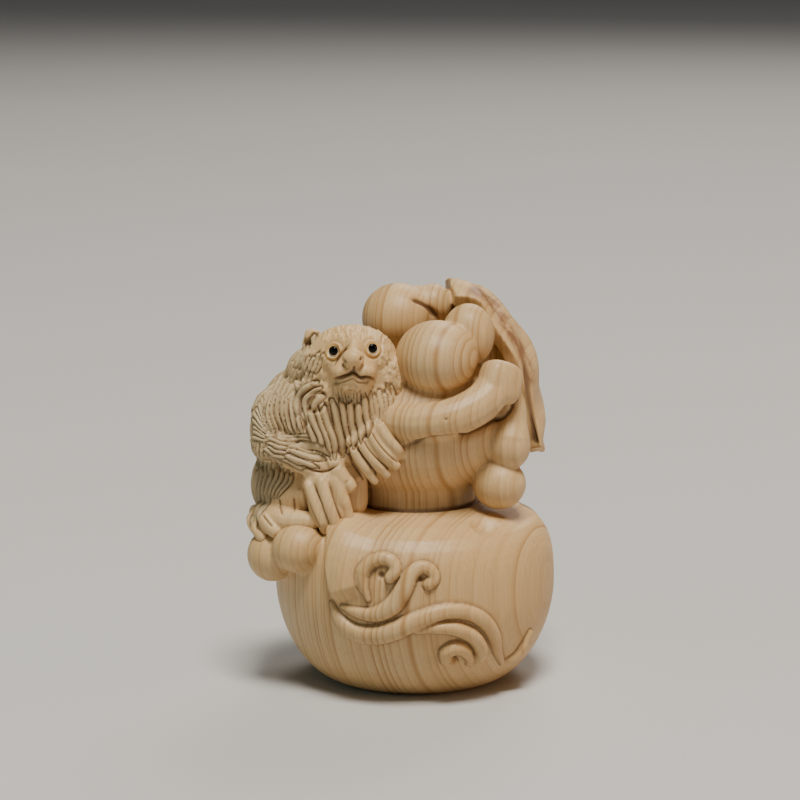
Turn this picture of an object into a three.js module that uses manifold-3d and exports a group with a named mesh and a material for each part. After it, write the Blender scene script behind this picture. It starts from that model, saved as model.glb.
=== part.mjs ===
// Hand-sized boxwood carving: a monkey clinging to a double gourd, with small
// gourds, a vine stem, a draped leaf and scrolls, all cut from one block.
// Millimetres, +Z up, -Y towards the viewer, origin at the centre of the foot.
import * as THREE from 'three';
import { mergeVertices } from 'three/addons/utils/BufferGeometryUtils.js';
import Module from 'manifold-3d';

const wasm = await Module();
wasm.setup();

// Big gourd
const footRadius = 13.2;
const lowerRadius = 24.4;
const lowerMiddle = 17;
const shoulderHeight = 31.4;
const crestRadius = 12.3;
const neckRadius = 10.4;
const neckHeight = 32.8;
const upperRadius = 15;
const upperMiddle = 44;
const gourdHeight = 56.6;
const upperLean = 2.2;
const hollowRadius = 3.2;

// Small gourds: round lobes in pairs
const frontFruitRadius = 7;
const frontBudRadius = 4.5;
const backFruitRadius = 6.3;
const backBudRadius = 3.6;
const hangingFruitRadius = 4.6;
const hangingBudRadius = 3.6;
const footFruitRadius = 4.2;
const footBudRadius = 4.8;
const rearFruitRadius = 8.6;

// Vine stem and leaf
const stemRadius = 3.5;
const stalkRadius = 1.6;
const leafThickness = 2.6;
const leafBulge = 1.8;

// Carved scrolls
const bandHalfWidth = 1.5;
const bandRise = 1.25;
const curlHalfWidth = 1.15;
const ribHalfWidth = 1.9;
const ribRise = 1.0;

// Monkey
const digitRadius = 1.15;
const digitPitch = 2.25;
const toeRadius = 1.1;
const lockHalfWidth = 0.95;
const lockRise = 0.75;
const backLockHalfWidth = 1.3;
const blendReach = 1.6;
const skinReach = 30;
const beardHalfWidth = 0.9;
const beardRise = 0.8;

// Inlaid eyes
const beadRadius = 0.78;
const beadLength = 2.2;
const beadDome = 0.42;
const beadClearance = 0.1;
const beadSeatGap = 0.3;
const lidRadius = 1.12;
const lidThickness = 0.26;

const boxwood = new THREE.MeshStandardMaterial({ color: 0xd9bd93, roughness: 0.55, metalness: 0 });
const glossyBlack = new THREE.MeshStandardMaterial({ color: 0x0b0a0a, roughness: 0.12, metalness: 0 });

const place = (x, y, z) => new THREE.Vector3(x, y, z);

// Closed solids from three.js geometry
function solid(geometry) {
  geometry.deleteAttribute('uv');
  geometry.deleteAttribute('normal');
  const merged = mergeVertices(geometry, 1e-5);
  const vertices = merged.getAttribute('position').array;
  const corner = (i) => new THREE.Vector3().fromArray(vertices, 3 * i);
  const kept = [];
  let volume = 0;
  for (let i = 0; i < merged.index.count; i += 3) {
    const [a, b, c] = [0, 1, 2].map((k) => merged.index.getX(i + k));
    if (a === b || b === c || c === a) continue;
    kept.push([a, b, c]);
    volume += corner(a).dot(corner(b).cross(corner(c)));
  }
  const faces = volume < 0 ? kept.map(([a, b, c]) => [a, c, b]) : kept;
  const mesh = new wasm.Mesh({
    numProp: 3,
    vertProperties: Float32Array.from(vertices),
    triVerts: Uint32Array.from(faces.flat()),
  });
  return new wasm.Manifold(mesh);
}

function meshGeometry(manifold) {
  const { vertProperties, triVerts } = manifold.getMesh();
  const geometry = new THREE.BufferGeometry();
  geometry.setAttribute('position', new THREE.BufferAttribute(vertProperties, 3));
  geometry.setIndex(new THREE.BufferAttribute(triVerts, 1));
  return geometry;
}

function ellipsoid(centre, radii, around = 11, down = 7) {
  const geometry = new THREE.SphereGeometry(1, around, down);
  geometry.rotateX(Math.PI / 2);
  geometry.scale(radii.x, radii.y, radii.z);
  geometry.translate(centre.x, centre.y, centre.z);
  return solid(geometry);
}

function ball(centre, radius, around = 9, down = 6) {
  return ellipsoid(centre, place(radius, radius, radius), around, down);
}

// A bar of elliptical section that follows a path; outward gives the way its thickness points
function bar(path, halfWidth, halfThickness, outward, sides = 6, steps = 8) {
  const geometry = new THREE.SphereGeometry(1, sides, steps);
  const position = geometry.getAttribute('position');
  const uv = geometry.getAttribute('uv');
  for (let i = 0; i < position.count; i++) {
    const along = Math.min(1, Math.max(0, 1 - uv.getY(i)));
    const centre = path.getPoint(along);
    const tangent = path.getTangent(along);
    const up = outward(centre).clone();
    up.addScaledVector(tangent, -up.dot(tangent)).normalize();
    const side = tangent.clone().cross(up);
    const isEnd = along < 1e-6 || along > 1 - 1e-6;
    const turn = 2 * Math.PI * uv.getX(i);
    const reach = isEnd ? 0 : 1;
    centre.addScaledVector(side, reach * halfWidth(along) * Math.cos(turn));
    centre.addScaledVector(up, reach * halfThickness(along) * Math.sin(turn));
    position.setXYZ(i, centre.x, centre.y, centre.z);
  }
  return solid(geometry);
}

const even = (size) => () => size;
const narrowing = (root, tip) => (t) => root + (tip - root) * t;
const digitTaper = (size) => (t) => size * Math.min(1, 1.25 - t ** 6 * 0.5);
const spindle = (size) => (t) => size * Math.sin(Math.PI * t ** 0.8) ** 0.6;
const smooth = (points) => new THREE.CatmullRomCurve3(points, false, 'centripetal');

// Big gourd: its outline, its surface and its solid
const upperHeight = gourdHeight - upperMiddle;
const lowerCrown = shoulderHeight - lowerMiddle;

function superellipse(height, power) {
  return (1 - Math.min(1, Math.abs(height)) ** power) ** (1 / power);
}

function lean(z) {
  const t = THREE.MathUtils.clamp((z - neckHeight) / (upperMiddle - neckHeight), 0, 1);
  return upperLean * t * t * (3 - 2 * t);
}

function gourdRadius(z) {
  if (z < lowerMiddle) {
    const share = superellipse((lowerMiddle - z) / lowerMiddle, 1.8);
    return footRadius + (lowerRadius - footRadius) * share;
  }
  if (z < shoulderHeight) {
    const share = superellipse((z - lowerMiddle) / lowerCrown, 2.5);
    return crestRadius + (lowerRadius - crestRadius) * share;
  }
  return Math.max(neckRadius, upperRadius * superellipse((z - upperMiddle) / upperHeight, 2.2));
}

function gourd() {
  const outline = [new THREE.Vector2(0, 0), new THREE.Vector2(footRadius, 0)];
  const ring = (z) => outline.push(new THREE.Vector2(gourdRadius(z), z));
  for (const share of [0.04, 0.2, 0.42, 0.7, 1]) ring(lowerMiddle * share);
  for (const share of [0.32, 0.6, 0.82, 0.95]) ring(lowerMiddle + lowerCrown * share);
  outline.push(new THREE.Vector2(crestRadius, shoulderHeight));
  outline.push(new THREE.Vector2(neckRadius, neckHeight));
  for (const share of [-0.6, -0.2, 0.22, 0.56, 0.82, 0.96]) {
    ring(upperMiddle + upperHeight * share);
  }
  outline.push(new THREE.Vector2(0, gourdHeight));
  const geometry = new THREE.LatheGeometry(outline, 32);
  geometry.rotateX(Math.PI / 2);
  const position = geometry.getAttribute('position');
  for (let i = 0; i < position.count; i++) position.setX(i, position.getX(i) + lean(position.getZ(i)));
  return solid(geometry);
}

// The point of the gourd's front that is seen at a given width and height
function onFront(x, z, lift = 0) {
  const radius = gourdRadius(z) + lift;
  const across = x - lean(z);
  return place(x, -Math.sqrt(Math.max(0, radius * radius - across * across)), z);
}

function awayFromGourd(point) {
  const step = 0.4;
  const slope = (gourdRadius(point.z + step) - gourdRadius(point.z - step)) / (2 * step);
  return place(point.x - lean(point.z), point.y, 0).normalize().setZ(-slope).normalize();
}

const awayFromAxis = (point) => place(point.x, point.y, 0).normalize();

// Scrolls: bands that lie on the front of the lower bulb
function scrollPath(corners, curl) {
  const line = corners.map(([x, z]) => [x, z]);
  if (curl) {
    const count = 8;
    for (let i = 1; i <= count; i++) {
      const share = i / count;
      const angle = THREE.MathUtils.degToRad(curl.from + (curl.to - curl.from) * share);
      const radius = curl.radius * (1 - 0.62 * share);
      line.push([curl.x + radius * Math.cos(angle), curl.z + radius * Math.sin(angle)]);
    }
  }
  return smooth(line.map(([x, z]) => onFront(x, z)));
}

function scroll(corners, curl, halfWidth, rise, steps) {
  const widen = (t) => halfWidth * (0.45 + 0.55 * Math.min(1, 4 * t));
  return bar(scrollPath(corners, curl), widen, even(rise), awayFromGourd, 5, steps);
}

function scrolls() {
  const mainBand = scroll(
    [[-14, 17.6], [-12, 15], [-8, 13.7], [-3, 14.8], [2, 17], [7, 17.3], [11, 15.2], [13.3, 11.2], [14.7, 6.6]],
    null, bandHalfWidth, bandRise, 13);
  const finBand = scroll(
    [[14.2, 8.2], [15.2, 6], [17.2, 6.3], [19, 8], [20.2, 10.8]],
    null, bandHalfWidth * 0.8, bandRise * 0.8, 6);
  const lowerBand = scroll(
    [[0, 15.2], [4, 15.6], [8, 14.6], [10.8, 12.2], [11.2, 9.2], [9.6, 7.2]],
    null, curlHalfWidth, bandRise, 8);
  const lowerCurl = scroll(
    [[10.2, 7.6], [8.6, 8]],
    { x: 6.9, z: 8.8, radius: 2, from: 0, to: 190 }, curlHalfWidth, bandRise, 10);
  const rightCurl = scroll(
    [[-11.6, 17], [-9.2, 15.9], [-6.4, 16.8], [-4, 18.9], [-2.2, 21.6]],
    { x: 1.3, z: 22.6, radius: 2.3, from: 160, to: -130 }, curlHalfWidth, bandRise, 13);
  const leftCurl = scroll(
    [[-11.2, 18.4], [-8.9, 18.4], [-7.8, 20.2], [-8.2, 22.2]],
    { x: -5.6, z: 23.4, radius: 2.4, from: 170, to: -120 }, curlHalfWidth, bandRise, 13);
  const rib = bar(
    smooth([[-13.2, 29.6], [-13.4, 26], [-13.8, 22.5], [-13.4, 19], [-12.4, 16.6]].map(([x, z]) => onFront(x, z))),
    narrowing(ribHalfWidth * 1.15, ribHalfWidth * 0.75), even(ribRise), awayFromGourd, 5, 5);
  return [mainBand, finBand, lowerBand, lowerCurl, rightCurl, leftCurl, rib];
}

// Small gourds
const frontFruit = place(3.6, -8.6, 57.4);
const frontBud = place(9, -4.8, 60.6);
const backFruit = place(-2.9, 3, 63);
const backBud = place(3, 4, 64.6);
const hangingBud = place(16.4, -8.2, 43.4);
const hangingFruit = place(14.3, -8, 35.4);
const footFruit = place(-18.9, -14.4, 25.4);
const footBud = place(-24, -9.4, 23.9);
const rearFruit = place(9, 9, 56.4);

function smallGourds() {
  const squat = (centre, radius, height) => ellipsoid(centre, place(radius, radius, height), 11, 7);
  return [
    squat(frontFruit, frontFruitRadius, frontFruitRadius * 0.89),
    squat(frontBud, frontBudRadius, frontBudRadius * 1.2),
    squat(backFruit, backFruitRadius, backFruitRadius * 0.96),
    squat(backBud, backBudRadius, backBudRadius),
    squat(hangingFruit, hangingFruitRadius, hangingFruitRadius * 0.94),
    squat(hangingBud, hangingBudRadius, hangingBudRadius * 1.25),
    squat(footFruit, footFruitRadius, footFruitRadius * 0.93),
    squat(footBud, footBudRadius, footBudRadius * 0.95),
    squat(rearFruit, rearFruitRadius, rearFruitRadius),
  ];
}

// Vine stem, the stalk of the hanging gourd and the leaf
function stem() {
  const route = smooth([
    place(-6, -9, 47.6), place(-1, -13, 47), place(6, -14.6, 48.2), place(11.6, -12.2, 51), place(14.2, -8.6, 56.6),
  ]);
  return bar(route, narrowing(stemRadius * 0.95, stemRadius), narrowing(stemRadius * 0.9, stemRadius * 0.8),
    awayFromGourd, 9, 8);
}

function stalk() {
  const route = smooth([place(17.2, -6, 53.5), place(18.3, -6, 49.5), place(17.6, -5.8, 45)]);
  return bar(route, even(stalkRadius), even(stalkRadius), awayFromGourd, 6, 4);
}

function leaf() {
  const frontEdge = smooth([
    place(6, 3, 68.4), place(9.2, 2.4, 68.6), place(12.6, 1.4, 66.8), place(17, -0.4, 61.4),
    place(20.6, -1.4, 54.6), place(21.7, -2, 47), place(22, -2, 40.6),
  ]);
  const rearEdge = smooth([
    place(5, 15, 66.2), place(11, 20, 62), place(16, 21.4, 54), place(18.2, 16, 45.6), place(20.6, 3, 39.4),
  ]);
  const middle = place(7, 6, 50);
  const geometry = new THREE.BoxGeometry(1, 1, 1, 9, 4, 1);
  const position = geometry.getAttribute('position');
  for (let i = 0; i < position.count; i++) {
    const along = position.getX(i) + 0.5;
    const across = position.getY(i) + 0.5;
    const layer = position.getZ(i);
    const point = frontEdge.getPoint(along).lerp(rearEdge.getPoint(along), across);
    const out = point.clone().sub(middle).normalize();
    const arch = 4 * across * (1 - across);
    const vein = layer > 0 ? 0.35 * Math.cos(2 * Math.PI * (4 * along - 1.5 * Math.abs(across - 0.5))) : 0;
    point.addScaledVector(out, (leafBulge + vein) * arch + (layer - 0.5) * leafThickness);
    position.setXYZ(i, point.x, point.y, point.z);
  }
  return solid(geometry);
}

// Monkey: rounded forms that are both its solids and the ground its fur lies on
const head = { at: place(-10.6, -7.4, 57), radii: place(7.8, 6.5, 5.8) };
const mask = { at: place(-10.5, -9.5, 57.6), radii: place(6.6, 4.7, 4.9) };
const ruff = { at: place(-10.4, -7.6, 54), radii: place(8, 6.2, 5.2) };
const beardMass = { at: place(-9.6, -10.6, 49.6), radii: place(6.2, 4.2, 6) };
const torso = { at: place(-18.4, -2, 42.6), radii: place(9.6, 9.6, 13.4) };
const hip = { at: place(-20.4, -2.6, 33.6), radii: place(8.2, 9.4, 7.6) };
const shoulder = { at: place(-22.2, -7.2, 49), radii: place(5.6, 5.4, 5.8) };
const farHip = { at: place(-16, 7, 34.6), radii: place(7.4, 7, 7) };
const headForms = [head, mask];
const trunkForms = [ruff, beardMass, torso, hip, shoulder, farHip];
const upperArm = { from: place(-23.8, -8.4, 48.4), to: place(-23.6, -12, 43), start: 4, end: 3.3 };
const forearm = { from: place(-23.6, -12, 43), to: place(-17, -12, 39.6), start: 3.2, end: 2.6 };
const farForearm = { from: place(-13, -9, 46), to: place(-7.6, -12.6, 45.6), start: 2.8, end: 2.5 };
const foot = { from: place(-21, -8, 31.4), to: place(-24.6, -9.6, 27.6), start: 3, end: 2.4 };
const limbForms = [upperArm, forearm, farForearm, foot];

function roundDistance({ at, radii }, point) {
  const offset = point.clone().sub(at);
  const near = offset.clone().divide(radii).length();
  const steep = offset.clone().divide(radii).divide(radii).length();
  return steep > 0 ? near * (near - 1) / steep : -Math.min(radii.x, radii.y, radii.z);
}

function limbDistance({ from, to, start, end }, point) {
  const line = to.clone().sub(from);
  const share = THREE.MathUtils.clamp(point.clone().sub(from).dot(line) / line.lengthSq(), 0, 1);
  return point.distanceTo(from.clone().addScaledVector(line, share)) - (start + (end - start) * share);
}

function blended(distances) {
  return distances.reduce((a, b) => {
    const share = Math.max(0, 1 - Math.abs(a - b) / blendReach);
    return Math.min(a, b) - share * share * blendReach / 4;
  });
}

const roundsDistance = (forms, point) => blended(forms.map((form) => roundDistance(form, point)));

function bodyDistance(point) {
  const limbDistances = limbForms.map((form) => limbDistance(form, point));
  return blended([roundsDistance(headForms, point), roundsDistance(trunkForms, point), ...limbDistances]);
}

// One smooth skin drawn over forms that bulge from a common middle
function skin(forms, middle, around, down) {
  const geometry = new THREE.SphereGeometry(1, around, down);
  geometry.rotateX(Math.PI / 2);
  const position = geometry.getAttribute('position');
  for (let i = 0; i < position.count; i++) {
    const way = new THREE.Vector3().fromBufferAttribute(position, i).normalize();
    const at = (reach) => middle.clone().addScaledVector(way, reach);
    let outside = skinReach;
    while (outside > 1 && roundsDistance(forms, at(outside - 0.5)) > 0) outside -= 0.5;
    let inside = outside - 0.5;
    for (let k = 0; k < 12; k++) {
      const half = (inside + outside) / 2;
      if (roundsDistance(forms, at(half)) > 0) outside = half;
      else inside = half;
    }
    position.setXYZ(i, ...at(inside).toArray());
  }
  return solid(geometry);
}

function awayFromBody(point) {
  const step = 0.3;
  const slope = (axis) => {
    const ahead = point.clone();
    const behind = point.clone();
    ahead[axis] += step;
    behind[axis] -= step;
    return bodyDistance(ahead) - bodyDistance(behind);
  };
  return place(slope('x'), slope('y'), slope('z')).normalize();
}

function onBody(point, lift = 0) {
  const settled = point.clone();
  for (let i = 0; i < 6; i++) settled.addScaledVector(awayFromBody(settled), lift - bodyDistance(settled));
  return settled;
}

// One lock of fur from a root to a tip, swaying to the side, laid on the body
function lock(root, tip, sway, halfWidth, rise) {
  const points = [];
  const count = 5;
  for (let i = 0; i < count; i++) {
    const share = i / (count - 1);
    const point = root.clone().lerp(tip, share);
    const out = awayFromBody(point);
    const side = tip.clone().sub(root).cross(out).normalize();
    point.addScaledVector(side, sway * Math.sin(2 * Math.PI * share));
    points.push(onBody(point, rise * 0.15 * Math.sin(Math.PI * share)));
  }
  return bar(smooth(points), spindle(halfWidth), spindle(rise), awayFromBody, 4, 5);
}

// A row of locks whose roots and tips run between two lines
function lockRow(rootLine, tipLine, count, sway = 0.5, halfWidth = lockHalfWidth, rise = lockRise) {
  return Array.from({ length: count }, (_, i) => {
    const share = count > 1 ? i / (count - 1) : 0;
    const root = rootLine[0].clone().lerp(rootLine[1], share);
    const tip = tipLine[0].clone().lerp(tipLine[1], share);
    return lock(root, tip, i % 2 ? sway : -sway, halfWidth, rise);
  });
}

function fur() {
  const beard = lockRow(
    [place(-15.6, -13, 53), place(-4.6, -12.6, 52.6)], [place(-14.6, -14.4, 43.6), place(-5.6, -14.6, 46.4)],
    6, 0.3, beardHalfWidth, beardRise);
  const chinTuft = lockRow(
    [place(-12, -15, 52.4), place(-8.4, -15, 52.4)], [place(-11.6, -15.4, 48), place(-8, -15.4, 48.4)],
    2, 0.2, beardHalfWidth, beardRise);
  const cheek = lockRow(
    [place(-18.2, -8, 57.6), place(-16.6, -12, 55)], [place(-21, -9.6, 49), place(-16.8, -14, 47.4)],
    3, 0.6);
  const mane = lockRow(
    [place(-19, -2, 59), place(-19.4, -8, 55)], [place(-27.6, -3, 48), place(-26.4, -10.4, 46)],
    4, 0.5);
  const upperArmLocks = lockRow(
    [place(-27, -6, 50), place(-20.6, -12, 50)], [place(-26.6, -11, 43.4), place(-21.6, -15, 43)],
    3, 0.4);
  const forearmLocks = lockRow(
    [place(-24.6, -15, 44), place(-25, -14, 40.6)], [place(-16.8, -15.4, 41.2), place(-17.8, -14.4, 38.2)],
    3, 0.35);
  const flank = lockRow(
    [place(-27, 0, 42), place(-22, -10, 38)], [place(-28, -1, 33), place(-24.6, -10, 31)],
    4, 0.5);
  const back = lockRow(
    [place(-24, 3, 55), place(-13, 7, 54)], [place(-27, 6, 44), place(-15, 10, 43)],
    3, 0.6, backLockHalfWidth);
  const rump = lockRow(
    [place(-27.6, 4, 42), place(-16, 11, 42)], [place(-26, 7, 31), place(-15, 15, 33)],
    3, 0.6, backLockHalfWidth);
  return [...beard, ...chinTuft, ...cheek, ...mane, ...upperArmLocks, ...forearmLocks, ...flank, ...back, ...rump];
}

// Digits side by side: from a line of knuckles over a line of joints to a line of tips
function digits(lines, count, radius) {
  return Array.from({ length: count }, (_, i) => {
    const share = i / (count - 1);
    const points = lines.map(([first, last]) => first.clone().lerp(last, share));
    return bar(smooth(points), digitTaper(radius), digitTaper(radius), awayFromAxis, 6, 6);
  });
}

function nearHand() {
  const width = 3 * digitPitch;
  const palm = bar(
    smooth([place(-17, -11.6, 40.4), place(-15.8, -12.2, 37), place(-14.8, -12.6, 33.6)]),
    narrowing(3.2, 4.2), even(2), awayFromAxis, 7, 5);
  const fingers = digits([
    [place(-19.2, -11.4, 38.6), place(-19.2 + width, -12.8, 38.2)],
    [place(-18.6, -13.6, 33.6), place(-18.6 + width, -15, 33.4)],
    [onFront(-17, 28.4, -digitRadius), onFront(-17 + width, 28.8, -digitRadius)],
  ], 4, digitRadius);
  const thumb = bar(
    smooth([place(-13.8, -12.8, 39.6), place(-12.2, -13.4, 37.8), place(-10.8, -12.6, 35)]),
    even(digitRadius), even(digitRadius), awayFromAxis, 6, 5);
  return [palm, ...fingers, thumb];
}

function farHand() {
  const back = bar(
    smooth([place(-10.6, -12, 47), place(-7.6, -14, 44.8), place(-5.6, -14.4, 42.4)]),
    narrowing(2.8, 3.6), even(1.8), awayFromAxis, 7, 5);
  const fingers = digits([
    [place(-11.4, -13.4, 42.4), place(-5.6, -15.6, 46.4)],
    [place(-10.2, -14.6, 39), place(-3.4, -16.2, 43.4)],
    [onFront(-8.8, 36.2, digitRadius * 0.5), onFront(-1.4, 40.4, digitRadius * 0.5)],
  ], 5, digitRadius * 0.92);
  return [back, ...fingers];
}

function toes() {
  return Array.from({ length: 4 }, (_, i) => {
    const root = place(-20.4 - 1.5 * i, -10.4 - 0.2 * i, 31.6 - 0.7 * i);
    const tip = place(-20.6 - 2.1 * i, -12.2 + 0.7 * i, 27.6 - 0.7 * i);
    return bar(smooth([root, root.clone().lerp(tip, 0.5).setY(root.y - 1.2), tip]),
      even(toeRadius), even(toeRadius), awayFromAxis, 5, 4);
  });
}

// Face
const towardsViewer = () => place(0, -1, 0.1);
const leftEye = { at: place(-13.75, -12.9, 59.15), faces: place(-0.24, -0.95, 0.16).normalize() };
const rightEye = { at: place(-7.15, -12.9, 59.6), faces: place(0.3, -0.93, 0.2).normalize() };

function turnedTo(geometry, { at, faces }) {
  geometry.applyQuaternion(new THREE.Quaternion().setFromUnitVectors(place(0, 0, 1), faces));
  geometry.translate(at.x, at.y, at.z);
  return geometry;
}

function eyeSocket(eye) {
  const lid = turnedTo(new THREE.TorusGeometry(lidRadius, lidThickness, 4, 12), eye);
  const bed = turnedTo(new THREE.SphereGeometry(lidRadius + lidThickness, 8, 5), eye);
  bed.translate(...eye.faces.clone().multiplyScalar(-(lidRadius + lidThickness)).toArray());
  return [solid(bed), solid(lid)];
}

function eyePocket(eye) {
  const depth = beadLength + beadSeatGap;
  const pocket = new THREE.CylinderGeometry(beadRadius + beadClearance, beadRadius + beadClearance, depth + 2, 12);
  pocket.rotateX(Math.PI / 2);
  pocket.translate(0, 0, 1 - depth / 2);
  return solid(turnedTo(pocket, eye));
}

function bead(eye) {
  const outline = [new THREE.Vector2(0, -beadLength), new THREE.Vector2(beadRadius, -beadLength)];
  const count = 4;
  for (let i = 0; i <= count; i++) {
    const angle = (Math.PI / 2) * (i / count);
    outline.push(new THREE.Vector2(i === count ? 0 : beadRadius * Math.cos(angle), beadDome * Math.sin(angle)));
  }
  const geometry = new THREE.LatheGeometry(outline, 12);
  geometry.rotateX(Math.PI / 2);
  return solid(turnedTo(geometry, eye));
}

function face() {
  const muzzle = ellipsoid(place(-10.4, -13.2, 55.5), place(3.9, 3.5, 2.9));
  const chin = ellipsoid(place(-10.4, -13, 53.6), place(3.2, 3, 1.5), 10, 6);
  const nose = ellipsoid(place(-10.4, -16.4, 58.5), place(1.75, 1.7, 1.4), 10, 7);
  const bridge = bar(
    smooth([place(-10.5, -12.4, 61), place(-10.4, -14, 60), place(-10.4, -16, 58.6)]),
    narrowing(0.9, 1.5), even(1), towardsViewer, 6, 4);
  const brows = [leftEye, rightEye].map(({ at }) => {
    const away = Math.sign(at.x + 10.4);
    return bar(
      smooth([
        place(at.x - 2 * away, at.y + 0.4, at.z + 1.3), place(at.x, at.y + 0.6, at.z + 2),
        place(at.x + 2 * away, at.y + 1.6, at.z + 1),
      ]),
      spindle(0.7), spindle(0.7), towardsViewer, 5, 5);
  });
  const lips = [-1, 1].map((side) => ellipsoid(
    place(-10.4 + 1.75 * side, -15.2, 55.9), place(2, 1.5, 1.35), 9, 6));
  return [muzzle, chin, nose, bridge, ...brows, ...lips];
}

function mouthCut() {
  const line = smooth([
    place(-14, -13.6, 54.6), place(-12.2, -16.4, 54.9), place(-10.4, -17.4, 56.1),
    place(-8.6, -16.4, 54.9), place(-6.8, -13.6, 54.6),
  ]);
  return bar(line, even(0.28), even(0.9), towardsViewer, 4, 6);
}

const ear = place(-17.5, -6.4, 60.2);

function earShell() {
  return ellipsoid(ear, place(1.8, 1.2, 1.8), 10, 6);
}

function earHollow() {
  return ellipsoid(place(ear.x - 0.1, ear.y - 1.1, ear.z), place(1, 0.8, 1.1), 8, 5);
}

function limbs() {
  return limbForms.map(({ from, to, start, end }) => {
    const middle = from.clone().lerp(to, 0.5);
    const line = new THREE.LineCurve3(from, to);
    return [
      ball(to, end),
      bar(line, narrowing(start, end), narrowing(start, end), () => place(0.1, -1, 0.2), 8, 3),
    ];
  }).flat();
}

// The hollow cut into the shoulder under the hanging gourd
function shoulderHollow() {
  const centre = onFront(hangingFruit.x - 2.2, shoulderHeight - 0.9);
  return ellipsoid(centre, place(hollowRadius, hollowRadius * 0.8, hollowRadius * 0.62), 12, 9);
}

// A pocket sealed in between joined forms is solid wood
function withoutPockets(joined) {
  const bodies = joined.decompose().filter((body) => body.volume() > 0);
  return bodies.reduce((whole, body) => whole.add(body));
}

function carving() {
  const pieces = [
    gourd(), ...scrolls(), ...smallGourds(), stem(), stalk(), leaf(),
    skin(headForms, head.at, 14, 10), skin(trunkForms, torso.at, 18, 13),
    ...limbs(), ...nearHand(), ...farHand(), ...toes(), earShell(), ...face(),
    ...eyeSocket(leftEye), ...eyeSocket(rightEye), ...fur(),
  ];
  const cuts = [shoulderHollow(), eyePocket(leftEye), eyePocket(rightEye), mouthCut(), earHollow()];
  const joined = pieces.reduce((whole, piece) => whole.add(piece));
  return cuts.reduce((whole, cut) => whole.subtract(cut), withoutPockets(joined));
}

function named(name, manifold, material) {
  const mesh = new THREE.Mesh(meshGeometry(manifold), material);
  mesh.name = name;
  return mesh;
}

const object = new THREE.Group();
object.add(named('carving', carving(), boxwood));
object.add(named('left_eye_bead', bead(leftEye), glossyBlack));
object.add(named('right_eye_bead', bead(rightEye), glossyBlack));

export default object;
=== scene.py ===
"""Boxwood carving of a long-haired monkey on a double gourd, dressed for rendering."""
import math
import random

import bpy
import numpy as np
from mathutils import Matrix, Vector
from mathutils.bvhtree import BVHTree
from mathutils.kdtree import KDTree


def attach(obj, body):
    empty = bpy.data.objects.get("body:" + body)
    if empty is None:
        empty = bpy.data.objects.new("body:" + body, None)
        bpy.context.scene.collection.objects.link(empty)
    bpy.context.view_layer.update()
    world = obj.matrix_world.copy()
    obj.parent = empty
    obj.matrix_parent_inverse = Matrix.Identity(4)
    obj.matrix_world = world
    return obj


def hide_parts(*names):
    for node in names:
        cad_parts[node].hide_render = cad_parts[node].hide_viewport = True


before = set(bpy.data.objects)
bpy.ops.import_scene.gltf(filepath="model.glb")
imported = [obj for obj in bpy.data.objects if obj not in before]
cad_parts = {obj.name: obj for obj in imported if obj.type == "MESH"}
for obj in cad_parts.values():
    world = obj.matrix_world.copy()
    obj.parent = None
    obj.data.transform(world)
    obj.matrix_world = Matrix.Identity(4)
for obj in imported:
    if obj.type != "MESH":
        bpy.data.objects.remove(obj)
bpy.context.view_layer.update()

bl_info = {
    "name": "Boxwood Monkey Carving",
    "version": (1, 0, 0),
    "blender": (4, 5, 0),
    "location": "View3D > Sidebar > Carving",
    "description": "Carves the boxwood monkey and gourd, inlays the eyes and sets up the studio",
    "category": "Object",
}

MM = 0.001
SEED = 11

# The camera, in millimetres and in pixels of a picture 800 wide
PICTURE_SIDE = 800
PIXELS_PER_MM = 5.8
CAMERA_DISTANCE = 500.0
CAMERA_ELEVATION = math.radians(10)
CAMERA_TARGET = np.array((-2.6, 0.0, 48.5))
SENSOR_WIDTH = 36.0
FOCAL_PIXELS = PIXELS_PER_MM * CAMERA_DISTANCE
CAMERA_FORWARD = np.array((0.0, math.cos(CAMERA_ELEVATION), -math.sin(CAMERA_ELEVATION)))
CAMERA_UP = np.array((0.0, math.sin(CAMERA_ELEVATION), math.cos(CAMERA_ELEVATION)))
CAMERA_RIGHT = np.array((1.0, 0.0, 0.0))
CAMERA_PLACE = CAMERA_TARGET - CAMERA_DISTANCE * CAMERA_FORWARD

# The big gourd
FOOT_RADIUS = 13.2
LOWER_RADIUS = 24.2
LOWER_MIDDLE = 17.0
SHOULDER_HEIGHT = 30.4
CREST_RADIUS = 12.4
NECK_RADIUS = 10.4
NECK_HEIGHT = 31.7
UPPER_RADIUS = 15.0
UPPER_MIDDLE = 44.0
GOURD_HEIGHT = 56.6
UPPER_LEAN = 2.2
GOURD_RINGS = 56

# Small gourds: middle and radii
SMALL_GOURDS = {
    "front_fruit": ((3.6, -8.6, 57.4), (7, 7, 6.23)),
    "front_bud": ((9, -4.8, 60.6), (4.5, 4.5, 5.4)),
    "back_fruit": ((-2.9, 3, 62.4), (6.3, 6.3, 6.05)),
    "back_bud": ((3, 4, 64.6), (3.6, 3.6, 3.6)),
    "back_waist": ((0.9, 3.6, 63.8), (4.7, 3.4, 4.2)),
    "hanging_bud": ((16, -8.4, 42), (3.6, 3.6, 4)),
    "hanging_fruit": ((14.3, -8, 35.4), (4.6, 4.6, 4.32)),
    "foot_fruit": ((-19.5, -13.7, 25.5), (4.8, 4.4, 4.2)),
    "foot_bud": ((-24.4, -9.4, 23.4), (4.3, 4.6, 4.6)),
    "rear_fruit": ((9, 9, 56.4), (8.6, 8.6, 8.6)),
}
STEM_ROUTE = ((-6, -9, 47.6), (-1, -13, 47), (5.6, -14.6, 47.9), (11, -12.6, 50.2), (13.8, -10, 53.2))
STEM_RADII = (3.2, 3.3, 3.3, 3.3, 3.1)
STALK_ROUTE = ((14.6, -8.8, 53.2), (16.5, -7.4, 49.6), (16.5, -7.8, 46.2), (16.2, -8.4, 43.4))
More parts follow.
